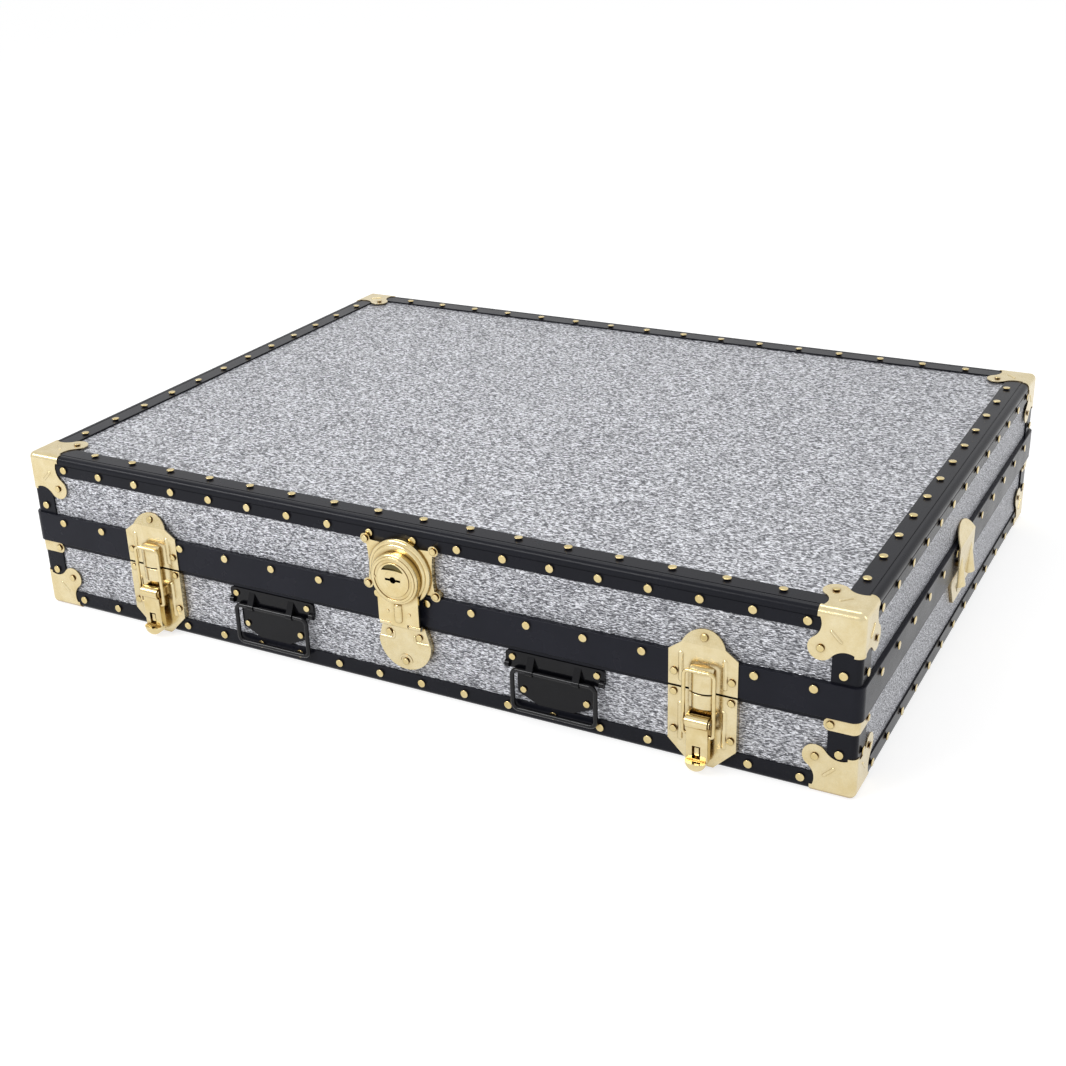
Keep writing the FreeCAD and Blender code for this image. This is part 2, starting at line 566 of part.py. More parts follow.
keep(block("back_strip", (f"{LEFT} + {PAST_CLIP}", f"{RIGHT} - {PAST_CLIP}"),
           (BACK, f"{BACK} + sizes.band_proud"), ("sizes.back_strip_low", SEAM)), "base_back_strip")

# Free-form pieces are made in a flat frame of their own and then set on a wall:
# x runs across the piece, z is the real height, and depth is -y, out of the trim's face

sheet_depth = size("fitting_sheet")
overrun = size("overrun")
cloth_depth = -size("trim_thickness")
band_face = size("band_proud")
plate_face = band_face + sheet_depth


def on_front(shape, place=0.0):
    """Set a fitting on the front; all of them stand a little right of the middle."""
    moved = shape.copy()
    moved.translate(Vector(place + size("fittings_shift"), -size("width") / 2, 0))
    return moved


def on_back(shape, place=0.0):
    moved = shape.copy()
    moved.rotate(Vector(0, 0, 0), Vector(0, 0, 1), 180)
    moved.translate(Vector(place, size("width") / 2, 0))
    return moved


def on_end(shape, side):
    moved = shape.copy()
    moved.rotate(Vector(0, 0, 0), Vector(0, 0, 1), 90 * side)
    moved.translate(Vector(side * size("length") / 2, size("dowel_shift"), 0))
    return moved


def flat_face(steps):
    """Face from (x, z) corners; a step of two points is an arc through the first of them."""
    start = steps[0]
    edges = []
    for step in steps[1:] + steps[:1]:
        through, end = step if isinstance(step[0], tuple) else (None, step)
        if through:
            edges.append(Part.Arc(*(Vector(x, 0, z) for x, z in (start, through, end))).toShape())
        elif start != end:
            edges.append(Part.makeLine(Vector(start[0], 0, start[1]), Vector(end[0], 0, end[1])))
        start = end
    return Part.Face(Part.Wire(edges))


def slab(face, near, far):
    """Solid over a face between two depths."""
    moved = face.copy()
    moved.translate(Vector(0, -near, 0))
    return moved.extrude(Vector(0, near - far, 0))


def box(left, right, low, high, near, far):
    return Part.makeBox(right - left, far - near, high - low, Vector(left, -far, low))


def disc(radius, near, far, across, height):
    """Round solid whose axis points out of the wall."""
    return Part.makeCylinder(radius, far - near, Vector(across, -near, height), Vector(0, -1, 0))


def rod(radius, left, right, height, depth):
    """Round solid that lies along the wall."""
    return Part.makeCylinder(radius, right - left, Vector(left, -depth, height), Vector(1, 0, 0))


def soften(shape, radius, test):
    return shape.makeFillet(radius, [edge for edge in shape.Edges if test(edge)])


def fused(shapes):
    return shapes[0].multiFuse(shapes[1:]).removeSplitter()


def pressed_rib(length, width, rise, angle, across, height, near):
    """Raised rib with a round back and round ends, turned in the plane of its plate."""
    crown = (width ** 2 / 4 + rise ** 2) / (2 * rise)
    half = (length - width) / 2
    bulge = crown * math.sqrt(HALF)
    section = flat_face([(-half - crown, 0), (half + crown, 0), ((half + bulge, bulge), (half, crown)),
                         (-half, crown), ((-half - bulge, bulge), (-half - crown, 0))])
    rib = section.revolve(Vector(0, 0, 0), Vector(1, 0, 0), 360)
    rib.translate(Vector(0, crown - rise, 0))
    rib = rib.common(box(-length, length, -width, width, 0, width))
    rib.rotate(Vector(0, 0, 0), Vector(0, -1, 0), angle)
    rib.translate(Vector(across, -near, height))
    return rib


HALF = 0.5
RIB_ROUND_SHARE = 0.6        # of a rise, for its rounded edge


def on_plane(edge, y):
    return abs(edge.BoundBox.YMin - y) < TOUCH and abs(edge.BoundBox.YMax - y) < TOUCH


def pressed_tray(outline, face_depth, backs):
    """Hollow pressing that is open at the back and follows the steps of the wall behind it."""
    deepest = min(depth for _, _, depth in backs)
    hollow = slab(outline.makeOffset2D(-sheet_depth), deepest - overrun, face_depth - sheet_depth)
    shell = slab(outline, deepest, face_depth).cut(hollow)
    wide = size("length")
    for low, high, depth in backs:
        if depth > deepest:
            shell = shell.cut(box(-wide, wide, low, high, deepest - overrun, depth))
    return shell


def blunted(outline, radius):
    """The same face with its outward corners rounded."""
    return outline.makeOffset2D(-radius).makeOffset2D(radius)


def both_sides(value):
    return -value, value


# Domed heads of nails and rivets, gathered for each half of the trunk


def dome(radius, rise):
    """Cap of a ball whose flat seat is centred on the origin."""
    ball = (radius ** 2 + rise ** 2) / (2 * rise)
    latitude = math.degrees(math.asin((ball - rise) / ball))
    return Part.makeSphere(ball, Vector(0, 0, rise - ball), Vector(0, 0, 1), latitude, 90, 360)


nail_head = dome(size("nail_radius"), size("nail_rise"))
rivet_head = dome(size("rivet_radius"), size("rivet_rise"))
heads = {"base_nails": [], "lid_nails": [], "base_rivets": [], "lid_rivets": []}
half_length, half_width, height = size("length") / 2, size("width") / 2, size("height")
UP = Vector(0, 0, 1)


def drive(group_name, head, place, outwards):
    """Seat one head on a surface of the carcass."""
    seated = head.copy()
    seated.Placement = Placement(place, Rotation(UP, outwards))
    heads[group_name].append(seated)


def rivet(group_name, places, depth, setter, *setting):
    """Seat rivets at (x, z) places of a fitting's own flat frame."""
    for x, z in places:
        head = rivet_head.copy()
        head.Placement = Placement(Vector(x, -depth, z), Rotation(UP, Vector(0, -1, 0)))
        heads[group_name].append(setter(head, *setting))


# Brass corners, each one sheet folded over three faces with a round lobe on each

brass = size("brass_sheet")
corner_arm = size("cap_arm")
lobe_place, lobe_radius = size("cap_lobe_place"), size("cap_lobe_radius")
rib_width, rib_rise = size("rib_width"), size("rib_rise")
ORIGIN, DIAGONAL = Vector(0, 0, 0), Vector(1, 1, 1)
CAP_TURNS = (0, 120, 240)    # degrees about the diagonal, from each face to the next
CAP_RIB_TURN = 45            # degrees, square to the diagonal of a face
CLIP_END_SHARE = 0.45        # of a clip's height, for its rounded ends


def hollow_corner(outside, radius):
    """Three faces that meet at one rounded corner, as the corner of a large block."""
    reach = lobe_place + lobe_radius + overrun
    tip = Vector(-outside, -outside, -outside)
    solid = Part.makeBox(reach, reach, reach, tip)
    return solid.makeFillet(radius, [edge for edge in solid.Edges
                                     if any(end.Point.isEqual(tip, TOUCH) for end in edge.Vertexes)])


def neck(start, lobe_centre, lobe_radius, neck_radius):
    """Middle and end of the hollow arc that runs from a point smoothly into the lobe."""
    span = lobe_centre - start
    reach = lobe_radius + neck_radius
    along = (neck_radius ** 2 - reach ** 2 + span.Length ** 2) / (2 * span.Length)
    unit = span / span.Length
    side = Vector(unit.y, -unit.x, 0)
    centre = start + unit * along + side * math.sqrt(neck_radius ** 2 - along ** 2)
    meet = lobe_centre + (centre - lobe_centre) * (lobe_radius / reach)
    middle = centre + ((start + meet) * HALF - centre).normalize() * neck_radius
    return (middle.x, middle.y), (meet.x, meet.y)


def corner_cap(ribbed_turns):
    """Cap over the corner where three faces meet that run to +x, +y and +z."""
    shell = hollow_corner(brass, size("nose_radius") + brass).cut(hollow_corner(0, size("nose_radius")))
    tab, step_end = size("cap_tab"), corner_arm - size("cap_step")
    middle, meet = neck(Vector(step_end, tab, 0), Vector(lobe_place, lobe_place, 0), lobe_radius,
                        size("cap_neck_radius"))
    far = lobe_place + lobe_radius * math.sqrt(HALF)
    outline = slab(flat_face([(0, 0), (corner_arm, 0), (corner_arm, tab), (step_end, tab), (middle, meet),
                              ((far, far), meet[::-1]), (middle[::-1], (tab, step_end)), (tab, corner_arm),
                              (0, corner_arm)]), -overrun, overrun + size("nose_radius"))
    outline.rotate(ORIGIN, Vector(1, 0, 0), -90)
    outline = outline.mirror(ORIGIN, UP)
    rib = pressed_rib(size("cap_rib_length"), rib_width, rib_rise, CAP_RIB_TURN, 0, 0, 0)
    rib.rotate(ORIGIN, Vector(1, 0, 0), 90)
    rib.translate(Vector(size("cap_rib_place"), size("cap_rib_place"), -brass))
    cutters, ribs = [], []
    for turn in CAP_TURNS:
        cutter = outline.copy()
        cutter.rotate(ORIGIN, DIAGONAL, turn)
        cutters.append(cutter)
        if turn in ribbed_turns:
            raised = rib.copy()
            raised.rotate(ORIGIN, DIAGONAL, turn)
            ribs.append(raised)
    return fused([shell.common(cutters[0].multiFuse(cutters[1:]))] + ribs)


def in_corner(label, shape, level):
    """Set a piece on the left front corner and repeat it on the other three."""
    feature = doc.addObject("Part::Feature", f"{label}_left_front")
    feature.Shape = shape
    feature.Placement = Placement(Vector(-half_length, -half_width, level), Rotation())
    keep(four_corners(label, feature), label)


in_corner("base_brass_corners", corner_cap(CAP_TURNS[1:]), brass)
in_corner("lid_brass_corners", corner_cap(CAP_TURNS).mirror(ORIGIN, UP), height)

clip_arm, clip_height = size("clip_arm"), size("clip_height")
clip_outside = box(-brass, clip_arm, 0, clip_height, -clip_arm, brass)
clip_inside = box(0, clip_arm + overrun, -overrun, clip_height + overrun, -clip_arm - overrun, 0)
clip = soften(clip_outside, size("nose_radius") + brass,
              lambda edge: edge.CenterOfMass.isEqual(Vector(-brass, -brass, clip_height / 2), TOUCH))
clip = clip.cut(soften(clip_inside, size("nose_radius"),
                       lambda edge: edge.CenterOfMass.isEqual(Vector(0, 0, clip_height / 2), TOUCH)))
clip = soften(clip, clip_height * CLIP_END_SHARE,
              lambda edge: edge.Length < 2 * brass and max(edge.CenterOfMass) > clip_arm - TOUCH)
clip_low = size("band_low") - size("band_clearance") - clip_height
in_corner("corner_clips", clip, clip_low)

clip_rivet = clip_arm - clip_height / 2
corner_rivets = (("lid_rivets", lobe_place, height - lobe_place),
                 ("base_rivets", lobe_place, brass + lobe_place),
                 ("base_rivets", clip_rivet, clip_low + clip_height / 2))
for side in (-1, 1):
    for face in (-1, 1):
        drive("lid_rivets", rivet_head,
              Vector(side * (half_length - lobe_place), face * (half_width - lobe_place), height + brass), UP)
        for group_name, inward, level in corner_rivets:
            on_side = Vector(side * (half_length + brass), face * (half_width - inward), level)
            on_face = Vector(side * (half_length - inward), face * (half_width + brass), level)
            drive(group_name, rivet_head, on_side, Vector(side, 0, 0))
            drive(group_name, rivet_head, on_face, Vector(0, face, 0))

# Nail rows of the trim and the band


def row(first, last, pitch):
    """Places of a row of nails between two end nails, as evenly near a pitch as fits."""
    spaces = round((last - first) / pitch)
    return [first + (last - first) * index / spaces for index in range(spaces + 1)]


def centred_row(half_wall, start, pitch):
    """Row between nails that stand a start away from both ends of a wall."""
    return row(start - half_wall, half_wall - start, pitch)


def clear_of(place, blocks):
    """True where a nail misses every block of (centre, half width)."""
    return all(abs(place - centre) > half + size("nail_radius") for centre, half in blocks)


top_inset, angle_inset = size("top_row_inset"), size("angle_nail_inset")
hinge_half, dowel_half, bolt_half = (size(f"{name}_width") / 2 for name in ("hinge", "dowel", "bolt"))
hinge_places = [place * (half_length - size("hinge_inset")) for place in (-1, 0, 1)]
bolt_place = half_length - size("bolt_inset")
bolt_foot_half = (size("bolt_width") + size("bolt_tip_width")) / 4
bolt_blocks = [(place + size("fittings_shift"), bolt_foot_half) for place in both_sides(bolt_place)]
hinge_blocks = [(place, hinge_half) for place in hinge_places]
band_level = size("band_row_height")

side_start, side_pitch = corner_arm + size("row_clearance"), size("side_row_pitch")
top_pitch, band_pitch = size("top_row_pitch"), size("band_row_pitch")

for side in (-1, 1):
    for x in centred_row(half_length, size("top_row_start"), top_pitch):
        drive("lid_nails", nail_head, Vector(x, side * (half_width - top_inset), height), UP)
    for y in centred_row(half_width, size("top_end_row_start"), side_pitch):
        drive("lid_nails", nail_head, Vector(side * (half_length - top_inset), y, height), UP)
    for group_name, level, blocks in (("lid_nails", height - size("lid_row_drop"), []),
                                      ("base_nails", size("base_row_height"), bolt_blocks)):
        for x in centred_row(half_length, side_start, side_pitch):
            if side > 0 or clear_of(x, blocks):
                drive(group_name, nail_head, Vector(x, side * half_width, level), Vector(0, side, 0))
        for y in centred_row(half_width, side_start, side_pitch):
            drive(group_name, nail_head, Vector(side * half_length, y, level), Vector(side, 0, 0))
    for group_name in ("lid", "base"):
        level = size(f"{group_name}_angle_nail")
        for face in (-1, 1):
            drive(f"{group_name}_nails", nail_head,
                  Vector(side * (half_length - angle_inset), face * half_width, level), Vector(0, face, 0))
            drive(f"{group_name}_nails", nail_head,
                  Vector(side * half_length, face * (half_width - angle_inset), level), Vector(side, 0, 0))
    inner_row = row(size("band_row_start"), bolt_place - size("band_inner_nail"), band_pitch)
    for x in inner_row + [bolt_place + size("band_outer_nail"), half_length - size("band_last_nail")]:
        drive("lid_nails", nail_head, Vector(side * x, -half_width - band_face, band_level), Vector(0, -1, 0))
    for y in centred_row(half_width, size("band_end_start"), size("band_end_pitch")):
        drive("lid_nails", nail_head, Vector(side * (half_length + band_face), y, band_level),
              Vector(side, 0, 0))
for x in both_sides(size("lock_nail")):
    drive("lid_nails", nail_head, Vector(x + size("fittings_shift"), -half_width - band_face, band_level),
          Vector(0, -1, 0))
for x in centred_row(half_length, size("band_last_nail"), band_pitch):
    if clear_of(x, hinge_blocks):
        drive("lid_nails", nail_head, Vector(x, half_width + band_face, band_level), Vector(0, 1, 0))

# Back hinges: the base's leaf holds the pin by its outer knuckles, the lid's turns on it

seam, running, side_gap = size("seam_height"), size("running_gap"), size("side_gap")
pin_radius, knuckle = size("pin_radius"), size("hinge_knuckle")
middle_half = hinge_half * KNUCKLE_SHARE
hinge_depth = band_face + size("hinge_gap") + knuckle
leaf_face = band_face + size("hinge_leaf_thickness")


def hinge_leaf(direction, spans, bore):
    """Leaf above or below the pin, with the knuckles that it carries."""
    far = seam + direction * size("hinge_leaf")
    near = seam + direction * (knuckle + size("hinge_gap"))
    leaf = box(-hinge_half, hinge_half, min(near, far), max(near, far), band_face, leaf_face)
    pieces = [soften(leaf, size("hinge_corner"), lambda edge: edge.Length < 2 * size("hinge_leaf_thickness")
                     and abs(edge.CenterOfMass.z - far) < TOUCH)]
    for left, right in spans:
        pieces.append(rod(knuckle, left, right, seam, hinge_depth))
        pieces.append(box(left, right, min(seam, near), max(seam, near), hinge_depth - knuckle, leaf_face))
    return fused(pieces).cut(rod(bore, -hinge_half - overrun, hinge_half + overrun, seam, hinge_depth))


outer_spans = [(-hinge_half, -middle_half - side_gap), (middle_half + side_gap, hinge_half)]
hinge_pieces = {
    "hinge_base_leaves": hinge_leaf(-1, outer_spans, pin_radius),
    "hinge_lid_leaves": hinge_leaf(1, [(-middle_half, middle_half)], pin_radius + running),
    "hinge_pins": rod(pin_radius, -hinge_half, hinge_half, seam, hinge_depth),
}
for label, shape in hinge_pieces.items():
    keep_shapes(label, [on_back(shape, place) for place in hinge_places])
for group_name, direction in (("base_rivets", -1), ("lid_rivets", 1)):
    screw_level = seam + direction * size("hinge_screw_drop")
    screws = [(x, screw_level) for x in both_sides(size("hinge_screw_place"))]
    for place in hinge_places:
        rivet(group_name, screws, leaf_face, on_back, place)

# End dowels: a plate before the band with two pressed tongues, above a plate on the base


def bent_sheet(outline, low, bend, top, back):
    """Sheet that stands upright below its bend and leans back above it to the covering."""
    side = [(back, low), (back + sheet_depth, low), (back + sheet_depth, bend),
            (cloth_depth + sheet_depth, top), (cloth_depth, top), (back, bend), (back, low)]
    wide = outline.BoundBox.XLength
    strip = Part.Face(Part.makePolygon([Vector(-wide, -depth, z) for depth, z in side]))
    return strip.extrude(Vector(2 * wide, 0, 0)).common(slab(outline, cloth_depth, back + sheet_depth))


strip_low, base_face, band_top = size("rim_strip_low"), 0, size("band_top")
dowel_low, dowel_shoulder, dowel_top = size("dowel_low"), size("dowel_shoulder"), size("dowel_top")
dowel_outline = flat_face([(-dowel_half, dowel_low), (dowel_half, dowel_low), (dowel_half, dowel_shoulder),
                           ((0, dowel_top), (-dowel_half, dowel_shoulder))])
dowel_back = band_face + size("dowel_standoff")
dowel_face = dowel_back + sheet_depth
boss_half, boss_rise = size("tongue_boss_width") / 2, size("tongue_boss_rise")
boss_low, boss_top = size("tongue_boss_low"), size("tongue_boss_top")
boss_crown = (boss_half ** 2 + boss_rise ** 2) / (2 * boss_rise)
boss_length = boss_crown * (boss_top - boss_low) / boss_rise
boss_axis = Vector(0, boss_crown - boss_rise - dowel_face, boss_low)
boss = Part.makeCone(boss_crown, 0, boss_length, boss_axis, UP).common(
    box(-dowel_half, dowel_half, boss_low, height, dowel_face - sheet_depth / 2, dowel_face + boss_rise))
dowel_pieces = [bent_sheet(dowel_outline, dowel_low, size("dowel_bend"), dowel_top, dowel_back)]
spacer_level = (size("band_low") + boss_top) / 2
for place in both_sides(size("tongue_place")):
    set_boss = boss.copy()
    set_boss.translate(Vector(place, 0, 0))
    dowel_pieces += [set_boss, disc(size("rivet_radius"), band_face, dowel_back, place, spacer_level)]
dowel_plate = fused(dowel_pieces)

socket_half, tip_half = size("socket_width") / 2, size("socket_tip_width") / 2
socket_low, socket_top = size("socket_low"), size("band_low") - side_gap
socket_outline = flat_face([(-tip_half, socket_low), (tip_half, socket_low), (socket_half, boss_low),
                            (socket_half, socket_top), (-socket_half, socket_top), (-socket_half, boss_low)])
RIM_STEPS = [(0, strip_low, cloth_depth), (strip_low, height, base_face)]
socket = pressed_tray(socket_outline, sheet_depth, RIM_STEPS)
for label, shape in (("dowel_plates", dowel_plate), ("dowel_sockets", socket)):
    keep_shapes(label, [on_end(shape, side) for side in (-1, 1)])
for side in (-1, 1):
    rivet("base_rivets", [(0, (socket_low + boss_low) / 2)], sheet_depth, on_end, side)

# Wire loops: a round wire bent through straight runs and arcs in an upright plane


def wire_loop(corners, bends, radius, depth):
    """Round wire through (x, z) corners, with a bend at each corner between its ends."""
    points = [Vector(x, -depth, z) for x, z in corners]
    edges, start = [], points[0]
    for before, corner, after, bend in zip(points, points[1:], points[2:], bends):
        into, out = (corner - before).normalize(), (after - corner).normalize()
        middle = corner + (out - into) * bend * ARC_MIDDLE
        edges.append(Part.makeLine(start, corner - into * bend))
        edges.append(Part.Arc(corner - into * bend, middle, corner + out * bend).toShape())
        start = corner + out * bend
    edges.append(Part.makeLine(start, points[-1]))
    section = Part.Wire([Part.makeCircle(radius, points[0], points[1] - points[0])])
    return Part.Wire(edges).makePipeShell([section], True, False)


ARC_MIDDLE = 1 - math.sqrt(HALF)  # from a square corner to the middle of its bend, of the bend's radius

# Drop handles: a pressed plate with two straps over the bar and a stop at each end

handle_face = sheet_depth
grip_radius, grip_bend = size("grip_wire") / 2, size("grip_bend")
grip_depth = handle_face + size("grip_gap") + grip_radius
grip_pivot, grip_low, grip_half = size("grip_pivot"), size("grip_low"), size("grip_span") / 2
handle_half, lower_half, foot_half = (size(f"handle_{name}width") / 2 for name in ("", "lower_", "foot_"))
handle_top, handle_step, strap_top = size("handle_top"), size("handle_step"), size("strap_top")
handle_low, taper = size("handle_low"), size("handle_taper")
handle_outline = blunted(flat_face(
    [(-foot_half, handle_low), (foot_half, handle_low), (lower_half, taper), (lower_half, handle_step),
     (handle_half, handle_step), (handle_half, handle_top), (-handle_half, handle_top),
     (-handle_half, handle_step),
     (-lower_half, handle_step), (-lower_half, taper)]), size("handle_corner"))
stop_radius, stop_length = size("stop_radius"), size("stop_length")
strap_inner, strap_half = grip_radius + running, size("loop_width") / 2
strap_outer = strap_inner + sheet_depth
handle_pieces = [pressed_tray(handle_outline, handle_face, RIM_STEPS)]
for left in (-handle_half, handle_half - stop_length):
    stop = rod(stop_radius, left, left + stop_length, handle_step + stop_radius, handle_face)
    handle_pieces.append(stop.common(box(left, left + stop_length, 0, height, base_face, height)))
for place in both_sides(size("loop_place")):
    left, right = place - strap_half, place + strap_half
    slope = [(base_face, grip_pivot), (grip_depth + strap_outer, grip_pivot), (handle_face, strap_top),
             (base_face, strap_top), (base_face, grip_pivot)]
    strap = Part.Face(Part.makePolygon([Vector(left, -depth, z) for depth, z in slope])).extrude(
        Vector(right - left, 0, 0))
    strap = strap.fuse([rod(strap_outer, left, right, grip_pivot, grip_depth),
                        box(left, right, grip_pivot - strap_outer, grip_pivot, base_face, grip_depth)])
    handle_pieces.append(strap.common(box(left, right, 0, height, base_face, height)))
handle_plate = fused(handle_pieces).cut(rod(strap_inner, -grip_half + strap_half, grip_half - strap_half,
                                            grip_pivot, grip_depth))
half_grip = wire_loop([(0, grip_pivot), (grip_half, grip_pivot), (grip_half, grip_low), (0, grip_low)],
                      (grip_bend, grip_bend), grip_radius, grip_depth)
grip = half_grip.fuse(half_grip.mirror(ORIGIN, Vector(1, 0, 0)))
handle_rivets = [(x, size("handle_rivet_height")) for x in both_sides(size("handle_rivet_span") / 2)]
handle_rivets += [(x, size("handle_low_rivet_height")) for x in both_sides(size("handle_low_rivet_span") / 2)]
handle_place = bolt_place / 2 + size("handle_offset")
for name, place in zip(("left", "right"), both_sides(handle_place)):
    keep_shapes(f"{name}_handle_plate", [on_front(handle_plate, place)])
    keep_shapes(f"{name}_handle_bail", [on_front(grip, place)])
    rivet("base_rivets", handle_rivets, handle_face, on_front, place)

# Draw bolts, upper half: a plate bent back to the lid's covering, with a raised hood

catch_low, catch_shoulder = size("catch_low"), size("catch_shoulder")
catch_bend, catch_top, bend_half = size("catch_bend"), size("catch_top"), size("catch_bend_width") / 2
catch_outline = flat_face([(-bolt_half, catch_low), (bolt_half, catch_low), (bolt_half, catch_shoulder),
                           (bend_half, catch_bend), ((0, catch_top), (-bend_half, catch_bend)),
                           (-bolt_half, catch_shoulder)])
catch_sheet = bent_sheet(catch_outline, catch_low, catch_bend, catch_top, band_face)
hood_half, hood_face = size("hood_width") / 2, plate_face + size("hood_rise")
LEAN_RIVET_SHARE = 0.5       # up the leaning top of the upper plate, for its rivet


def hood(low, top, near, far, crest):
    """Raised hood with a bulging front and a rounded crest, standing on a plate."""
    shoulder = far - size("hood_bulge")
    section = flat_face([(-hood_half, near - overrun), (hood_half, near - overrun), (hood_half, shoulder),
                         ((0, far), (-hood_half, shoulder))])
    section.rotate(ORIGIN, Vector(1, 0, 0), 90)
    section.translate(Vector(0, 0, low))
    solid = section.extrude(Vector(0, 0, top - low))
    solid = soften(solid, crest, lambda edge: abs(edge.CenterOfMass.z - top) < TOUCH
                   and edge.CenterOfMass.y < -shoulder)
    return solid.common(box(-hood_half, hood_half, low, top, near, far))


def bolt_ribs(low, top, near):
    """Two upright pressed ribs beside the loop."""
    width, rise, middle = size("bolt_rib_width"), size("bolt_rib_rise"), (low + top) / 2
    places = both_sides(size("bolt_rib_place"))
    return [pressed_rib(top - low, width, rise, 90, x, middle, near) for x in places]


catch_ribs = bolt_ribs(catch_low + size("bolt_rib_inset"), catch_shoulder, plate_face)
catch_hood = hood(catch_low, size("hood_top"), band_face, hood_face, size("hood_round"))
bolt_catch = fused([catch_sheet, catch_hood] + catch_ribs)

# Draw bolts, lower half: a pressed plate with a saddle and two ears for the lever's pin

bolt_face = band_face + side_gap + sheet_depth
bolt_top, bolt_corner, bolt_low = size("bolt_plate_top"), size("bolt_plate_corner"), size("bolt_plate_low")
bolt_tip_half = size("bolt_tip_width") / 2
flange_top = mm(BASE_FLANGE_TOP)
BASE_STEPS = [(0, flange_top, base_face), (flange_top, strip_low, cloth_depth),
              (strip_low, size("band_low") - side_gap, base_face),
              (size("band_low") - side_gap, height, band_face + side_gap)]
bolt_outline = flat_face([(-bolt_tip_half, bolt_low), (bolt_tip_half, bolt_low), (bolt_half, bolt_corner),
                          (bolt_half, bolt_top), (-bolt_half, bolt_top), (-bolt_half, bolt_corner)])
lever_pivot, bail_pivot = size("lever_pivot"), size("bail_pivot")
bail_radius, bail_half, bail_stub = size("bail_wire") / 2, size("bail_span") / 2, size("bail_stub")
lever_depth = hood_face + side_gap + bail_radius
lever_half, ear_radius = size("lever_width") / 2, size("ear_radius")
ear_inner = lever_half + side_gap
ear_outer = ear_inner + sheet_depth
bolt_pieces = [pressed_tray(bolt_outline, bolt_face, BASE_STEPS),
               hood(size("saddle_low"), bolt_top, band_face + side_gap, hood_face - side_gap,
                    size("hood_edge"))]
bolt_pieces += bolt_ribs(bolt_corner, size("saddle_low"), bolt_face)
for left, right in ((-ear_outer, -ear_inner), (ear_inner, ear_outer)):
    bolt_pieces.append(rod(ear_radius, left, right, lever_pivot, lever_depth))
    bolt_pieces.append(box(left, right, lever_pivot - ear_radius, lever_pivot + ear_radius,
                           bolt_face - sheet_depth, lever_depth))
bolt_plate = fused(bolt_pieces).cut(rod(pin_radius, -ear_outer, ear_outer, lever_pivot, lever_depth))
lever_pin = rod(pin_radius, -ear_outer, ear_outer, lever_pivot, lever_depth)
lever_back, lever_front = lever_depth - size("lever_back"), lever_depth + size("lever_face")
latch_half = size("latch_width") / 2
latch = box(-latch_half, latch_half, size("latch_low"), size("latch_top"), bolt_face,
            lever_front - size("latch_set"))

# Draw bolts, moving pieces: the lever with its finger knob and the wire loop hinged in it

reach, knob_radius, knob_top = size("bolt_reach"), size("knob_radius"), size("knob_top")
bar = box(-lever_half, lever_half, size("lever_low"), lever_pivot, lever_back, lever_front)
bar = soften(bar, size("lever_round"), lambda edge: edge.BoundBox.ZLength > knob_radius
             and abs(edge.CenterOfMass.y + lever_front) < TOUCH)
slot_half = size("slot_width") / 2
bar = bar.cut(box(-slot_half, slot_half, size("slot_low"), size("slot_top"), lever_back, lever_front))
knob = soften(disc(knob_radius, lever_back, reach, 0, knob_top), size("knob_round"),
              lambda edge: on_plane(edge, -reach))
knob = knob.common(box(-knob_radius, knob_radius, 0, knob_top, lever_back, reach))
lever = fused([rod(size("lever_head"), -lever_half, lever_half, lever_pivot, lever_depth), bar, knob])
lever = lever.cut(rod(pin_radius + running, -lever_half, lever_half, lever_pivot, lever_depth))
for left, right in ((-lever_half, side_gap - bail_stub), (bail_stub - side_gap, lever_half)):
    lever = lever.cut(rod(bail_radius + running, left, right, bail_pivot, lever_depth))
top_bend, low_bend = size("bail_bend"), size("bail_low_bend")
bail = wire_loop([(-bail_stub, bail_pivot), (-bail_half, bail_pivot), (-bail_half, size("bail_top")),
                  (bail_half, size("bail_top")), (bail_half, bail_pivot), (bail_stub, bail_pivot)],
                 (low_bend, top_bend, top_bend, low_bend), bail_radius, lever_depth)
catch_rivets = [(x, size("catch_rivet_height")) for x in both_sides(size("bolt_rivet_place"))]
lean_top = Vector(0, -cloth_depth - sheet_depth, catch_top)
lean_foot = Vector(0, -plate_face, catch_bend)
lean_middle = lean_foot + (lean_top - lean_foot) * LEAN_RIVET_SHARE
lean_outwards = (lean_top - lean_foot).cross(Vector(-1, 0, 0))
plate_rivets = [(x, z) for x in both_sides(size("bolt_rivet_place"))
                for z in (size("bolt_rivet_low"), size("bolt_rivet_top"))]
pins, latches = [], []
for name, place in zip(("left", "right"), both_sides(bolt_place)):
    keep_shapes(f"{name}_drawbolt_catch", [on_front(bolt_catch, place)])
    keep_shapes(f"{name}_drawbolt_plate", [on_front(bolt_plate, place)])
    keep_shapes(f"{name}_drawbolt_lever", [on_front(lever, place)])
    keep_shapes(f"{name}_drawbolt_bail", [on_front(bail, place)])
    pins.append(on_front(lever_pin, place))
    latches.append(on_front(latch, place))
    rivet("lid_rivets", catch_rivets, plate_face, on_front, place)
    top_head = rivet_head.copy()
    top_head.Placement = Placement(lean_middle, Rotation(UP, lean_outwards))
    heads["lid_rivets"].append(on_front(top_head, place))
    rivet("base_rivets", plate_rivets, bolt_face, on_front, place)
keep_shapes("drawbolt_pins", pins)
keep_shapes("drawbolt_latches", latches)

# Lock, upper plate: four lugs round a stepped housing

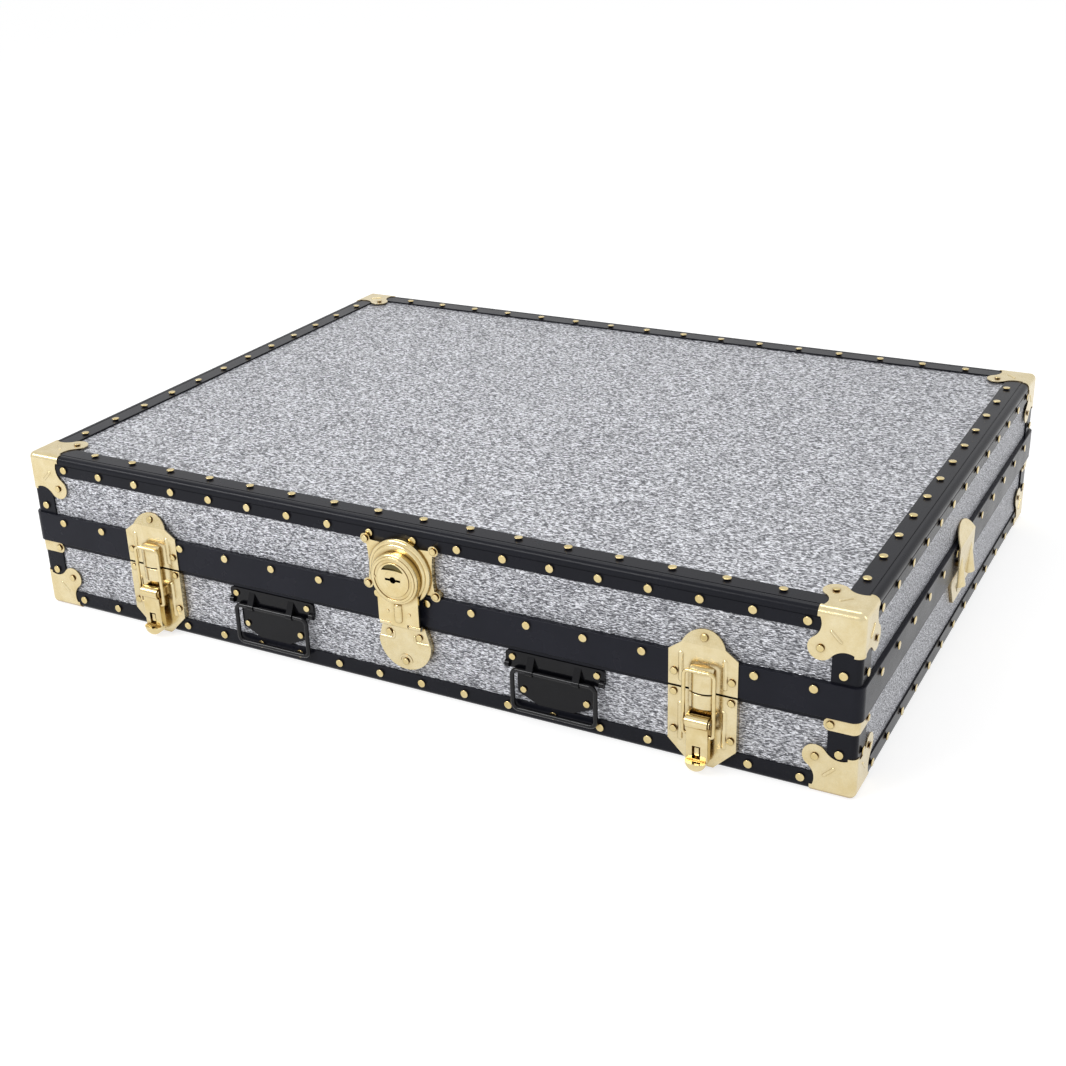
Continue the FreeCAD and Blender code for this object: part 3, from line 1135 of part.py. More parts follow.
lug_half, lug_rise, lug_radius = size("lug_span") / 2, size("lug_rise") / 2, size("lug_radius")
lug_middle, ring_level, waist = size("lug_centre"), size("lock_ring_height"), size("lug_waist")
lug_places = [(x, lug_middle + rise) for x in both_sides(lug_half) for rise in both_sides(lug_rise)]
lugs = [disc(lug_radius, cloth_depth, plate_face, x, z) for x, z in lug_places]
lug_low, lug_top, lug_dip = lug_middle - lug_rise, lug_middle + lug_rise, size("lug_dip")
lock_body = flat_face([(-lug_half, lug_low), ((0, lug_low + lug_dip), (lug_half, lug_low)),
                       ((waist, lug_middle), (lug_half, lug_top)),
                       ((0, lug_top - lug_dip), (-lug_half, lug_top)),
                       ((-waist, lug_middle), (-lug_half, lug_low))])
lock_solid = fused([slab(lock_body, cloth_depth, plate_face),
                    disc(size("lock_ring_radius"), cloth_depth, plate_face, 0, ring_level)] + lugs)
lock_inside = lock_body.makeOffset2D(-sheet_depth)
lock_solid = lock_solid.cut(slab(lock_inside, cloth_depth, band_face))
for low, high, depth in ((0, band_top, band_face), (mm(LID_FLANGE_LOW), height, base_face)):
    lock_solid = lock_solid.cut(box(-half_length, half_length, low, high, cloth_depth, depth))
for x in centred_row(half_length, side_start, side_pitch):
    lock_solid = lock_solid.cut(disc(size("nail_radius") + side_gap, cloth_depth, band_face,
                                     x - size("fittings_shift"), height - size("lid_row_drop")))


def raised_disc(radius, near, far, level, round_share):
    """Round step with a rounded rim, standing on a plate."""
    return soften(disc(radius, near, far, 0, level), (far - plate_face) * round_share,
                  lambda edge: on_plane(edge, -far))


housing = [raised_disc(size(f"lock_{step}_radius"), band_face, plate_face + size(f"lock_{step}_rise"),
                       ring_level, share) for step, share in zip(("ring", "step"), RING_ROUND_SHARES)]
keep_shapes("lock_lid_plate", [on_front(fused([lock_solid] + housing))])
rivet("lid_rivets", lug_places, plate_face, on_front)

# Lock, lower plate: rounded below, with the outer knuckles of the hasp's hinge

tongue_half, tongue_top_half = size("tongue_width") / 2, size("tongue_top_width") / 2
tongue_top, tongue_round, hasp_hinge = size("tongue_top"), size("tongue_round"), size("lock_hinge_height")
tongue_outline = flat_face([(tongue_half, tongue_round), (tongue_top_half, tongue_top),
                            (-tongue_top_half, tongue_top), (-tongue_half, tongue_round),
                            ((0, tongue_round - tongue_half), (tongue_half, tongue_round))])
lock_knuckle, hasp_half = size("lock_knuckle"), size("hasp_width") / 2
hasp_back = plate_face + size("lock_step_rise") + side_gap
hasp_front = hasp_back + size("hasp_sheet")
pin_depth = hasp_back - size("hasp_pin_set")
hasp_middle = hasp_half * KNUCKLE_SHARE
tongue_pieces = [pressed_tray(tongue_outline, bolt_face, BASE_STEPS)]
for left, right in ((-hasp_half, -hasp_middle - side_gap), (hasp_middle + side_gap, hasp_half)):
    tongue_pieces.append(rod(lock_knuckle, left, right, hasp_hinge, pin_depth))
    tongue_pieces.append(box(left, right, hasp_hinge - lock_knuckle, hasp_hinge, bolt_face - sheet_depth,
                             pin_depth))
screw_level, screw_place = size("tongue_screw_height"), size("tongue_screw_place")
low_screw, arch_outer = size("tongue_low_screw"), size("arch_radius")
hook_inner = screw_place - size("rivet_radius") - side_gap - rib_width / 2
hook_outer = hook_inner + size("cap_rib_length")
hook_low, hook_radius = screw_level - 2 * rib_width, rib_width / 2
hook_depth = bolt_face + rib_rise - hook_radius
hook_ends = [(hook_outer, hook_low), (hook_inner, screw_level)]
hook = fused([wire_loop([hook_ends[0], (hook_inner, hook_low), hook_ends[1]], (rib_width,), hook_radius,
                        hook_depth)]
             + [Part.makeSphere(hook_radius, Vector(x, -hook_depth, z)) for x, z in hook_ends])
hook = hook.common(box(0, tongue_half, 0, height, bolt_face - sheet_depth, reach))
tongue_pieces += [hook, hook.mirror(ORIGIN, Vector(1, 0, 0))]
arch_front = bolt_face + rib_rise / 2
arch = disc(arch_outer, bolt_face - sheet_depth, arch_front, 0, low_screw).cut(
    disc(arch_outer - rib_width / 2, bolt_face, arch_front, 0, low_screw))
tongue_pieces.append(arch.common(box(-arch_outer, arch_outer, low_screw, height, 0, reach)))
lock_hinge_plate = fused(tongue_pieces).cut(rod(pin_radius, -hasp_half, hasp_half, hasp_hinge, pin_depth))
keep_shapes("lock_hinge_plate", [on_front(lock_hinge_plate)])
keep_shapes("lock_hinge_pin", [on_front(rod(pin_radius, -hasp_half, hasp_half, hasp_hinge, pin_depth))])
tongue_screws = [(x, screw_level) for x in both_sides(screw_place)] + [(0, low_screw)]
rivet("base_rivets", tongue_screws, bolt_face, on_front)

# Lock, hasp: a flat stem with a round raised head, a thumb rib and the key plug in its middle

head_level, head_radius, rim = size("hasp_height"), size("hasp_radius"), size("hasp_rim")
head_front = hasp_front + size("hasp_rise")
rim_front, dial_front = head_front + size("hasp_rim_rise"), head_front + size("dial_rise")
stem_low = hasp_hinge + lock_knuckle + side_gap
head = soften(disc(head_radius, hasp_back, head_front, 0, head_level),
              size("hasp_rise") * RING_ROUND_SHARES[1], lambda edge: on_plane(edge, -head_front))
rim_outer = head_radius - rim
rim_ring = soften(disc(rim_outer, hasp_front, rim_front, 0, head_level).cut(
    disc(rim_outer - rim, head_front, rim_front, 0, head_level)), size("hasp_rim_rise") * RIB_ROUND_SHARE,
    lambda edge: on_plane(edge, -rim_front))
dial = soften(disc(size("dial_radius"), hasp_front, dial_front, 0, head_level),
              size("dial_rise") * RIB_ROUND_SHARE, lambda edge: on_plane(edge, -dial_front))
rib_middle = (stem_low + head_level - head_radius) / 2
thumb = pressed_rib(size("catch_rib_length"), size("catch_rib_width"), size("catch_rib_rise"), 90, 0,
                    rib_middle, hasp_front)
stud_rise, stud_radius = size("stud_rise"), size("stud_radius")
studs = [disc(stud_radius, hasp_back, front + stud_rise, x, level)
         for front, reach_x, level in ((hasp_front, size("stem_stud_place"), rib_middle),
                                       (head_front, size("head_stud_place"), head_level))
         for x in both_sides(reach_x)]
hasp = fused([box(-hasp_half, hasp_half, stem_low, head_level, hasp_back, hasp_front),
              box(-hasp_middle, hasp_middle, hasp_hinge, stem_low, hasp_back, hasp_front),
              rod(lock_knuckle, -hasp_middle, hasp_middle, hasp_hinge, pin_depth),
              head, rim_ring, dial, thumb] + studs)
plug_radius, plug_back = size("plug_radius"), dial_front - size("plug_depth")
inner, outer = (size("dial_radius") * share for share in CRESCENT_SHARES)
tip_across, tip_up = (size("dial_radius") * share for share in CRESCENT_TIP_SHARES)
crescent = flat_face([(-tip_across, head_level + tip_up),
                      ((0, head_level + outer), (tip_across, head_level + tip_up)),
                      ((0, head_level + inner), (-tip_across, head_level + tip_up))])
hasp = hasp.cut(rod(pin_radius + running, -hasp_middle, hasp_middle, hasp_hinge, pin_depth))
hasp = hasp.cut(disc(plug_radius, plug_back, dial_front, 0, head_level))
hasp = hasp.cut(slab(crescent, dial_front - size("crescent_depth"), dial_front))
keep_shapes("lock_hasp", [on_front(hasp)])

keyhole_half, slit_half = size("keyhole_length") / 2, size("keyhole_width") / 2
plug = disc(plug_radius - running, plug_back, dial_front, 0, head_level)
keyhole = disc(size("keyhole_radius"), plug_back + sheet_depth, dial_front, 0, head_level).fuse(
    box(-keyhole_half, keyhole_half, head_level - slit_half, head_level + slit_half,
        plug_back + sheet_depth, dial_front))
keep_shapes("lock_key_plug", [on_front(plug.cut(keyhole))])

# Gathered heads, then a check of every piece before it is written

for group_name, members in heads.items():
    keep_shapes(group_name, members)

doc.recompute()
faults = [item.Label for item in doc.Objects if {"Invalid", "Error"} & set(item.State)]
faults += [node.Label for node in nodes
           if node.Shape.isNull() or not node.Shape.isValid() or not node.Shape.Solids]
if faults:
    raise RuntimeError("did not build: " + ", ".join(faults))
os.makedirs("parts", exist_ok=True)
for node in nodes:
    node.Shape.exportStep(f"parts/{node.Label}.step")
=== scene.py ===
import math

import bmesh
import bpy
import numpy as np
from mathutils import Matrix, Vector


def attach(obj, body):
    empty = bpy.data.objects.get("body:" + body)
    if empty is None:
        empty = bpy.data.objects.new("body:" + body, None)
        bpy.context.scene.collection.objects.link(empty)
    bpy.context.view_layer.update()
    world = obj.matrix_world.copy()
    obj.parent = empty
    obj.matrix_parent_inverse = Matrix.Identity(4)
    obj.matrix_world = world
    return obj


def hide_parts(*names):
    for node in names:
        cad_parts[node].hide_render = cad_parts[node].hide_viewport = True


# A shallow travelling trunk: plywood boards under silver embossed leathercloth, black
# moulded edging, brass corners and nails, a hasp lock, two draw bolts and two drop
# handles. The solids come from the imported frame; this file gives them their finish.

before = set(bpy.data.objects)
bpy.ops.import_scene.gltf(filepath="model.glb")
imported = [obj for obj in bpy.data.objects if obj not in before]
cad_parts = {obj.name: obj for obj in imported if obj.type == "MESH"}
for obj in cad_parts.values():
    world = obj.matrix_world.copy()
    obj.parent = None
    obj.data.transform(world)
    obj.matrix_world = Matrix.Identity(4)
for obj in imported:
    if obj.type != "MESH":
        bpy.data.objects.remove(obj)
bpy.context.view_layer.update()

# Boards
# Birch plywood, six millimetres thick and five plies deep. It shows only where the lid is
# open, as the sawn edge of each wall between the covering and the lining paper.

PLY, WOOD_STREAK = 1.2, 16             # millimetres, one ply and the streaks of its grain
PLY_CONTRAST = 0.22                    # how far a ply's tone swings, against its grain's
STREAK_SCALE = 0.08                    # draws the streaks out along the board


def linear(hex_colour):
    """sRGB hex colour as linear RGBA."""
    channels = [int(hex_colour[place:place + 2], 16) / 255 for place in (1, 3, 5)]
    return [c / 12.92 if c <= 0.04045 else ((c + 0.055) / 1.055) ** 2.4 for c in channels] + [1.0]


def add(tree, kind, inputs=None, stops=(), **settings):
    """Add one node with its settings, its plain or linked inputs and a ramp's colour stops."""
    node = tree.nodes.new(kind)
    for name, value in settings.items():
        setattr(node, name, value)
    for name, value in (inputs or {}).items():
        if isinstance(value, bpy.types.NodeSocket):
            tree.links.new(value, node.inputs[name])
        else:
            node.inputs[name].default_value = value
    if stops:
        elements = node.color_ramp.elements
        while len(elements) < len(stops):
            elements.new(0.5)
        for element, (position, colour) in zip(elements, stops):
            element.position = position
            element.color = linear(colour)
    return node


def every(millimetres):
    """Scale of a pattern whose features come about this far apart."""
    return 1000.0 / millimetres


def new_finish(name):
    """New material with an empty node tree."""
    material = bpy.data.materials.new(name)
    material.use_nodes = True
    material.node_tree.nodes.clear()
    return material, material.node_tree


def dress(material, slot, *names):
    """Give CAD nodes one material; the slot is not used."""
    for name in names:
        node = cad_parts[name]
        node.data.materials.clear()
        node.data.materials.append(material)


def plywood(stacked, streaks):
    """Birch plywood with its plies stacked along one axis and its streaks along another."""
    material, tree = new_finish(f"birch_plywood_{stacked}")
    place = add(tree, "ShaderNodeTexCoord").outputs["Object"]
    split = add(tree, "ShaderNodeSeparateXYZ", {"Vector": place})
    drawn_out = add(tree, "ShaderNodeMapping", {"Vector": place, "Scale": streaks})
    grain = add(tree, "ShaderNodeTexNoise", {
        "Vector": drawn_out.outputs["Vector"], "Scale": every(WOOD_STREAK),
        "Detail": 6.0, "Distortion": 0.6})
    turns = add(tree, "ShaderNodeMath", {0: split.outputs[stacked], 1: math.pi * every(PLY)},
                operation="MULTIPLY")
    ply = add(tree, "ShaderNodeMath", {0: turns.outputs[0]}, operation="SINE")
    mixed = add(tree, "ShaderNodeMath", {
        0: ply.outputs[0], 1: PLY_CONTRAST, 2: grain.outputs["Fac"]}, operation="MULTIPLY_ADD")
    colour = add(tree, "ShaderNodeValToRGB", {"Fac": mixed.outputs[0]},
                 stops=[(0.15, "#A98A5E"), (0.5, "#CDB189"), (0.85, "#E0C9A2")])
    bump = add(tree, "ShaderNodeBump", {
        "Height": grain.outputs["Fac"], "Strength": 0.3, "Distance": 0.0002})
    shader = add(tree, "ShaderNodeBsdfPrincipled", {
        "Base Color": colour.outputs["Color"], "Roughness": 0.62,
        "Normal": bump.outputs["Normal"]})
    add(tree, "ShaderNodeOutputMaterial", {"Surface": shader.outputs["BSDF"]})
    return material


long_ply = plywood("Y", (STREAK_SCALE, 1.0, 1.0))
short_ply = plywood("X", (1.0, STREAK_SCALE, 1.0))
flat_ply = plywood("Z", (STREAK_SCALE, 1.0, 1.0))
for part in ("base", "lid"):
    dress(long_ply, "plywood", f"{part}_front_panel", f"{part}_back_panel")
    dress(short_ply, "plywood", f"{part}_left_panel", f"{part}_right_panel")
dress(flat_ply, "plywood", "base_floor_panel", "lid_top_panel")

# Covering
# Leathercloth: a cotton back with a silver foil film, embossed with a wrinkled pebble
# grain. Its ridges carry painted light and its valleys painted shade, and the valleys are
# rougher.

PEBBLE, WRINKLE = 1.5, 1.2             # millimetres, one pebble and one wrinkle, unstretched
GRAIN_SCALE = (0.36, 0.65, 1.35)       # a pebble is 4.2 mm long, 2.3 mm deep and 1.1 mm high
PEBBLE_CROWN = 0.25                    # rise of a pebble's middle, against the wrinkles'
EMBOSSED_DEPTH = 0.0007                # metres, from a valley to a ridge

leathercloth, tree = new_finish("silver_embossed_leathercloth")
place = add(tree, "ShaderNodeTexCoord").outputs["Object"]
stretch = add(tree, "ShaderNodeMapping", {"Vector": place, "Scale": GRAIN_SCALE})
drift = add(tree, "ShaderNodeTexNoise", {
    "Vector": place, "Scale": every(2 * PEBBLE), "Detail": 1.0})
bent = add(tree, "ShaderNodeVectorMath", {0: drift.outputs["Color"], 1: [PEBBLE / 1000] * 3},
           operation="MULTIPLY")
path = add(tree, "ShaderNodeVectorMath", {0: stretch.outputs["Vector"], 1: bent.outputs[0]},
           operation="ADD")
pebbles = add(tree, "ShaderNodeTexVoronoi", {
    "Vector": path.outputs[0], "Scale": every(PEBBLE), "Smoothness": 0.5}, feature="SMOOTH_F1")
wrinkles = add(tree, "ShaderNodeTexNoise", {
    "Vector": path.outputs[0], "Scale": every(WRINKLE),
    "Detail": 1.0, "Roughness": 0.5, "Distortion": 0.5})
raised = add(tree, "ShaderNodeMath", {
    0: pebbles.outputs["Distance"], 1: -PEBBLE_CROWN, 2: wrinkles.outputs["Fac"]},
    operation="MULTIPLY_ADD")
relief = add(tree, "ShaderNodeMapRange", {
    "Value": raised.outputs[0], "From Min": 0.16, "From Max": 0.62})
# Painted light and shade: pale colour on the ridges of the relief and grey in its valleys.
painted_relief_shading = add(tree, "ShaderNodeValToRGB", {"Fac": relief.outputs[0]},
             stops=[(0.2, "#5A5B60"), (0.5, "#A8A9AE"), (0.8, "#E9EAF0")])
dulled = add(tree, "ShaderNodeMapRange", {
    "Value": relief.outputs[0], "To Min": 0.5, "To Max": 0.3})
bump = add(tree, "ShaderNodeBump", {
    "Height": relief.outputs[0], "Strength": 1.0, "Distance": EMBOSSED_DEPTH})
shader = add(tree, "ShaderNodeBsdfPrincipled", {
    "Base Color": painted_relief_shading.outputs["Color"], "Metallic": 0.6, "Roughness": dulled.outputs[0],
    "Normal": bump.outputs["Normal"]})
add(tree, "ShaderNodeOutputMaterial", {"Surface": shader.outputs["BSDF"]})
dress(leathercloth, "covering", "base_covering", "lid_covering")

# Lining
# Heavy paper pasted on the inside, pale grey with a fine laid grain and a little
# mottling where the paste soaked in.

PASTE_STAIN = 70                       # millimetres, the mottling
PAPER_FIBRE = 1.1                      # millimetres; real fibres are too fine to show

paper, tree = new_finish("pasted_lining_paper")
place = add(tree, "ShaderNodeTexCoord").outputs["Object"]
fibres = add(tree, "ShaderNodeTexNoise", {
    "Vector": place, "Scale": every(PAPER_FIBRE), "Detail": 3.0})
mottle = add(tree, "ShaderNodeTexNoise", {
    "Vector": place, "Scale": every(PASTE_STAIN), "Detail": 4.0})
blend = add(tree, "ShaderNodeMath", {
    0: fibres.outputs["Fac"], 1: 0.35, 2: mottle.outputs["Fac"]}, operation="MULTIPLY_ADD")
tone = add(tree, "ShaderNodeValToRGB", {"Fac": blend.outputs[0]},
           stops=[(0.4, "#C7C3BA"), (0.65, "#CFCBC2"), (0.9, "#D5D1C8")])
bump = add(tree, "ShaderNodeBump", {
    "Height": fibres.outputs["Fac"], "Strength": 0.4, "Distance": 0.0003})
shader = add(tree, "ShaderNodeBsdfPrincipled", {
    "Base Color": tone.outputs["Color"], "Roughness": 0.85, "Normal": bump.outputs["Normal"]})
add(tree, "ShaderNodeOutputMaterial", {"Surface": shader.outputs["BSDF"]})
dress(paper, "lining", "base_lining", "lid_lining")

# Edge trim, corner angles and rim strip
# Black vulcanised fibre, pressed hot round the edges and nailed through. It is satin, with
# a soft gloss along the round nose and faint drawing lines along each length.

DRAWING_LINE, FIBRE_CLOUD = 1.4, 45    # millimetres, across a drawing line and a cloud
FIBRE_GRAIN = 0.7                      # millimetres; the real grain is too fine to show
LINE_SCALE = 0.01                      # draws the lines out along a length of edging
EDGING_BLACK, EDGING_SHEEN = "#17181E", "#1C1D24"


def fibre(name, rest, sheen, line_scale):
    """Black vulcanised fibre with its drawing lines along the stretched axes."""
    material, tree = new_finish(name)
    place = add(tree, "ShaderNodeTexCoord").outputs["Object"]
    lines = add(tree, "ShaderNodeMapping", {"Vector": place, "Scale": line_scale})
    drawn = add(tree, "ShaderNodeTexNoise", {
        "Vector": lines.outputs["Vector"], "Scale": every(DRAWING_LINE), "Detail": 2.0})
    cloud = add(tree, "ShaderNodeTexNoise", {
        "Vector": place, "Scale": every(FIBRE_CLOUD), "Detail": 5.0})
    grain = add(tree, "ShaderNodeTexNoise", {
        "Vector": place, "Scale": every(FIBRE_GRAIN), "Detail": 2.0})
    colour = add(tree, "ShaderNodeValToRGB", {"Fac": cloud.outputs["Fac"]},
                 stops=[(0.3, rest), (0.75, sheen)])
    rough = add(tree, "ShaderNodeMapRange", {
        "Value": cloud.outputs["Fac"], "From Min": 0.3, "From Max": 0.7,
        "To Min": 0.2, "To Max": 0.3})
    fine = add(tree, "ShaderNodeMath", {
        0: grain.outputs["Fac"], 1: 0.5, 2: drawn.outputs["Fac"]}, operation="MULTIPLY_ADD")
    bump = add(tree, "ShaderNodeBump", {
        "Height": fine.outputs[0], "Strength": 0.35, "Distance": 0.0001})
    shader = add(tree, "ShaderNodeBsdfPrincipled", {
        "Base Color": colour.outputs["Color"], "Roughness": rough.outputs[0],
        "Normal": bump.outputs["Normal"], "Specular IOR Level": 0.12})
    add(tree, "ShaderNodeOutputMaterial", {"Surface": shader.outputs["BSDF"]})
    return material


long_fibre = fibre("black_vulcanised_fibre_long", EDGING_BLACK, EDGING_SHEEN,
                   (LINE_SCALE, 1.0, 1.0))
short_fibre = fibre("black_vulcanised_fibre_short", EDGING_BLACK, EDGING_SHEEN,
                    (1.0, LINE_SCALE, 1.0))
upright_fibre = fibre("black_vulcanised_fibre_upright", EDGING_BLACK, EDGING_SHEEN,
                      (1.0, 1.0, LINE_SCALE))
for part in ("base", "lid"):
    dress(long_fibre, "trim", f"{part}_front_binding", f"{part}_back_binding")
    dress(short_fibre, "trim", f"{part}_left_binding", f"{part}_right_binding")
    dress(upright_fibre, "trim", f"{part}_corner_bindings")
dress(long_fibre, "trim", "base_rim_strip")

# Dust band
# A wider strip of the same fibre, bent round the corners and nailed to the lid, that laps
# over the seam. Its broad face is smoother and a shade lighter than the edging.

BAND_LINE_SCALE = 0.02                 # draws the lines out along the walls

band_fibre = fibre("smooth_black_fibre_band", "#1B1C24", "#202129",
                   (BAND_LINE_SCALE, BAND_LINE_SCALE, 1.0))
dress(band_fibre, "trim", "valance_front", "valance_sides", "lid_back_strip", "base_back_strip")

# Brass corners and clips
# Pressed steel sheet with a satin brass plate under lacquer. Flat faces look pale, and painted
# brown gold shade darkens its folds, with fine polishing marks all over.

LACQUER_CLOUD = 16                     # millimetres, the clouding of the lacquer
POLISHING_MARK = 0.6                   # millimetres; real marks are too fine to show
PAINTED_FOLD_SHADE = "#866425"                    # colour of the painted shade in the folds
PAINTED_SHADE_REACH = 0.005                     # metres, how far the painted shade reaches out of a fold
FACTOR, COLOUR_A, COLOUR_B = 0, 6, 7   # inputs of a Mix node for colours
MIXED_COLOUR = 2                       # and its output


def brass_plate(name, pale, deep, smooth, dull):
    """Satin brass plate with polishing marks, clouded lacquer and painted shade in its folds."""
    material, tree = new_finish(name)
    place = add(tree, "ShaderNodeTexCoord").outputs["Object"]
    cloud = add(tree, "ShaderNodeTexNoise", {
        "Vector": place, "Scale": every(LACQUER_CLOUD), "Detail": 6.0, "Roughness": 0.65})
    marks = add(tree, "ShaderNodeTexNoise", {
        "Vector": place, "Scale": every(POLISHING_MARK), "Detail": 3.0})
    plate = add(tree, "ShaderNodeValToRGB", {"Fac": cloud.outputs["Fac"]},
                stops=[(0.3, deep), (0.7, pale)])
    # Painted shade: ambient occlusion mixes the shade colour into folds and round raised parts.
    occlusion = add(tree, "ShaderNodeAmbientOcclusion", {"Distance": PAINTED_SHADE_REACH}, samples=8)
    unshaded = add(tree, "ShaderNodeMapRange", {
        "Value": occlusion.outputs["AO"], "From Min": 0.35, "From Max": 0.95})
    colour = add(tree, "ShaderNodeMix", {
        FACTOR: unshaded.outputs[0], COLOUR_A: linear(PAINTED_FOLD_SHADE), COLOUR_B: plate.outputs["Color"]},
        data_type="RGBA")
    rough = add(tree, "ShaderNodeMapRange", {
        "Value": marks.outputs["Fac"], "From Min": 0.3, "From Max": 0.7,
        "To Min": smooth, "To Max": dull})
    bump = add(tree, "ShaderNodeBump", {
        "Height": marks.outputs["Fac"], "Strength": 0.25, "Distance": 0.00008})
    shader = add(tree, "ShaderNodeBsdfPrincipled", {
        "Base Color": colour.outputs[MIXED_COLOUR], "Metallic": 1.0,
        "Roughness": rough.outputs[0], "Normal": bump.outputs["Normal"]})
    add(tree, "ShaderNodeOutputMaterial", {"Surface": shader.outputs["BSDF"]})
    return material


sheet_brass = brass_plate("satin_brass_plate", "#DED1AC", "#D2C092", smooth=0.18, dull=0.3)
dress(sheet_brass, "brass", "base_brass_corners", "lid_brass_corners", "corner_clips")

# Nails and rivets
# Brass-plated steel nails with domed heads, driven by hand, so that no two stand quite
# alike. The rivets of the fittings have lower heads of the same kind.

NAIL_RADIUS, NAIL_RISE = 0.0041, 0.0020      # metres, a nail's head
RIVET_RADIUS, RIVET_RISE = 0.0034, 0.0015    # metres, a rivet's head
HEAD_SEGMENTS, HEAD_RINGS = 14, 6      # faces round a head and from pole to pole
HEAD_BACK = -0.12                      # level of the dome's flat back, as a share of its rise
HEAD_TILT = 0.05                       # about the most that a head leans, as a slope
SAME_POINT = 1e-6                      # metres, within which corners of triangles are one

nail_brass = brass_plate("bright_brass_nail", "#DACA9C", "#C9B37A", smooth=0.1, dull=0.2)


def seats(name):
    """Seat and outward direction of every head in a CAD node."""
    mesh = bmesh.new()
    mesh.from_mesh(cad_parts[name].data)
    bmesh.ops.remove_doubles(mesh, verts=mesh.verts, dist=SAME_POINT)
    mesh.verts.ensure_lookup_table()
    seen, found = set(), []
    for first in mesh.verts:
        if first.index in seen:
            continue
        island, queue = [], [first]
        seen.add(first.index)
        while queue:
            vertex = queue.pop()
            island.append(vertex.co)
            for edge in vertex.link_edges:
                other = edge.other_vert(vertex)
                if other.index not in seen:
                    seen.add(other.index)
                    queue.append(other)
        points = np.array(island)
        centre = points.mean(axis=0)
        out = np.linalg.svd(points - centre)[2][2]
        reach = (points - centre) @ out
        if reach.max() < -reach.min():
            out, reach = -out, -reach
        found.append((centre + out * reach.min(), out))
    mesh.free()
    return found


def head_tree():
    """Geometry Nodes that set one domed head on every point, each a little out of true."""
    tree = bpy.data.node_groups.new("domed_heads", "GeometryNodeTree")
    for name, kind in (("Points", "Geometry"), ("Radius", "Float"), ("Rise", "Float"),
                       ("Tilt", "Float"), ("Seed", "Int"), ("Finish", "Material")):
        tree.interface.new_socket(name, in_out="INPUT", socket_type=f"NodeSocket{kind}")
    tree.interface.new_socket("Heads", in_out="OUTPUT", socket_type="NodeSocketGeometry")
    given = add(tree, "NodeGroupInput").outputs
    ball = add(tree, "GeometryNodeMeshUVSphere", {
        "Segments": HEAD_SEGMENTS, "Rings": HEAD_RINGS, "Radius": 1.0})
    position = add(tree, "GeometryNodeInputPosition")
    spot = add(tree, "ShaderNodeSeparateXYZ", {"Vector": position.outputs[0]})
    raised = add(tree, "ShaderNodeMath", {0: spot.outputs["Z"], 1: HEAD_BACK},
                 operation="MAXIMUM")
    across = [add(tree, "ShaderNodeMath", {0: spot.outputs[axis], 1: given["Radius"]},
                  operation="MULTIPLY") for axis in ("X", "Y")]
    up = add(tree, "ShaderNodeMath", {0: raised.outputs[0], 1: given["Rise"]},
             operation="MULTIPLY")
    formed = add(tree, "ShaderNodeCombineXYZ", {
        "X": across[0].outputs[0], "Y": across[1].outputs[0], "Z": up.outputs[0]})
    head = add(tree, "GeometryNodeSetPosition", {
        "Geometry": ball.outputs["Mesh"], "Position": formed.outputs["Vector"]})
    smooth = add(tree, "GeometryNodeSetShadeSmooth", {"Geometry": head.outputs["Geometry"]})
    facing = add(tree, "GeometryNodeInputNamedAttribute", {"Name": "facing"},
                 data_type="FLOAT_VECTOR")
    lean = add(tree, "FunctionNodeRandomValue", {0: (-1.0, -1.0, -1.0), "Seed": given["Seed"]},
               data_type="FLOAT_VECTOR")
    leaning = add(tree, "ShaderNodeVectorMath", {0: lean.outputs[0], "Scale": given["Tilt"]},
                  operation="SCALE")
    aim = add(tree, "ShaderNodeVectorMath", {0: facing.outputs[0], 1: leaning.outputs[0]},
              operation="ADD")
    turn = add(tree, "FunctionNodeAlignRotationToVector", {"Vector": aim.outputs[0]}, axis="Z")
    set_heads = add(tree, "GeometryNodeInstanceOnPoints", {
        "Points": given["Points"], "Instance": smooth.outputs["Geometry"],
        "Rotation": turn.outputs[0]})
    real = add(tree, "GeometryNodeRealizeInstances", {"Geometry": set_heads.outputs["Instances"]})
    coated = add(tree, "GeometryNodeSetMaterial", {
        "Geometry": real.outputs["Geometry"], "Material": given["Finish"]})
    add(tree, "NodeGroupOutput", {"Heads": coated.outputs["Geometry"]})
    return tree


domed_heads = head_tree()


def drive_heads(name, node, body, radius, rise, seed):
    """Replace a CAD node of plain heads with hand-driven ones on the same seats."""
    places = seats(node)
    points = bpy.data.meshes.new(f"{name}_points")
    points.from_pydata([tuple(seat) for seat, _ in places], [], [])
    facing = points.attributes.new("facing", "FLOAT_VECTOR", "POINT")
    facing.data.foreach_set("vector", np.array([out for _, out in places]).ravel())
    carrier = bpy.data.objects.new(f"{name}_carrier", points)
    bpy.context.scene.collection.objects.link(carrier)
    modifier = carrier.modifiers.new("heads", "NODES")
    modifier.node_group = domed_heads
    values = {"Radius": radius, "Rise": rise, "Tilt": HEAD_TILT, "Seed": seed,
              "Finish": nail_brass}
    for item in domed_heads.interface.items_tree:
        if item.in_out == "INPUT" and item.name in values:
            modifier[item.identifier] = values[item.name]
    evaluated = carrier.evaluated_get(bpy.context.evaluated_depsgraph_get())
    mesh = bpy.data.meshes.new_from_object(evaluated)
    bpy.data.objects.remove(carrier)
    piece = bpy.data.objects.new(name, mesh)
    bpy.context.scene.collection.objects.link(piece)
    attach(piece, body)
    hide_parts(node)


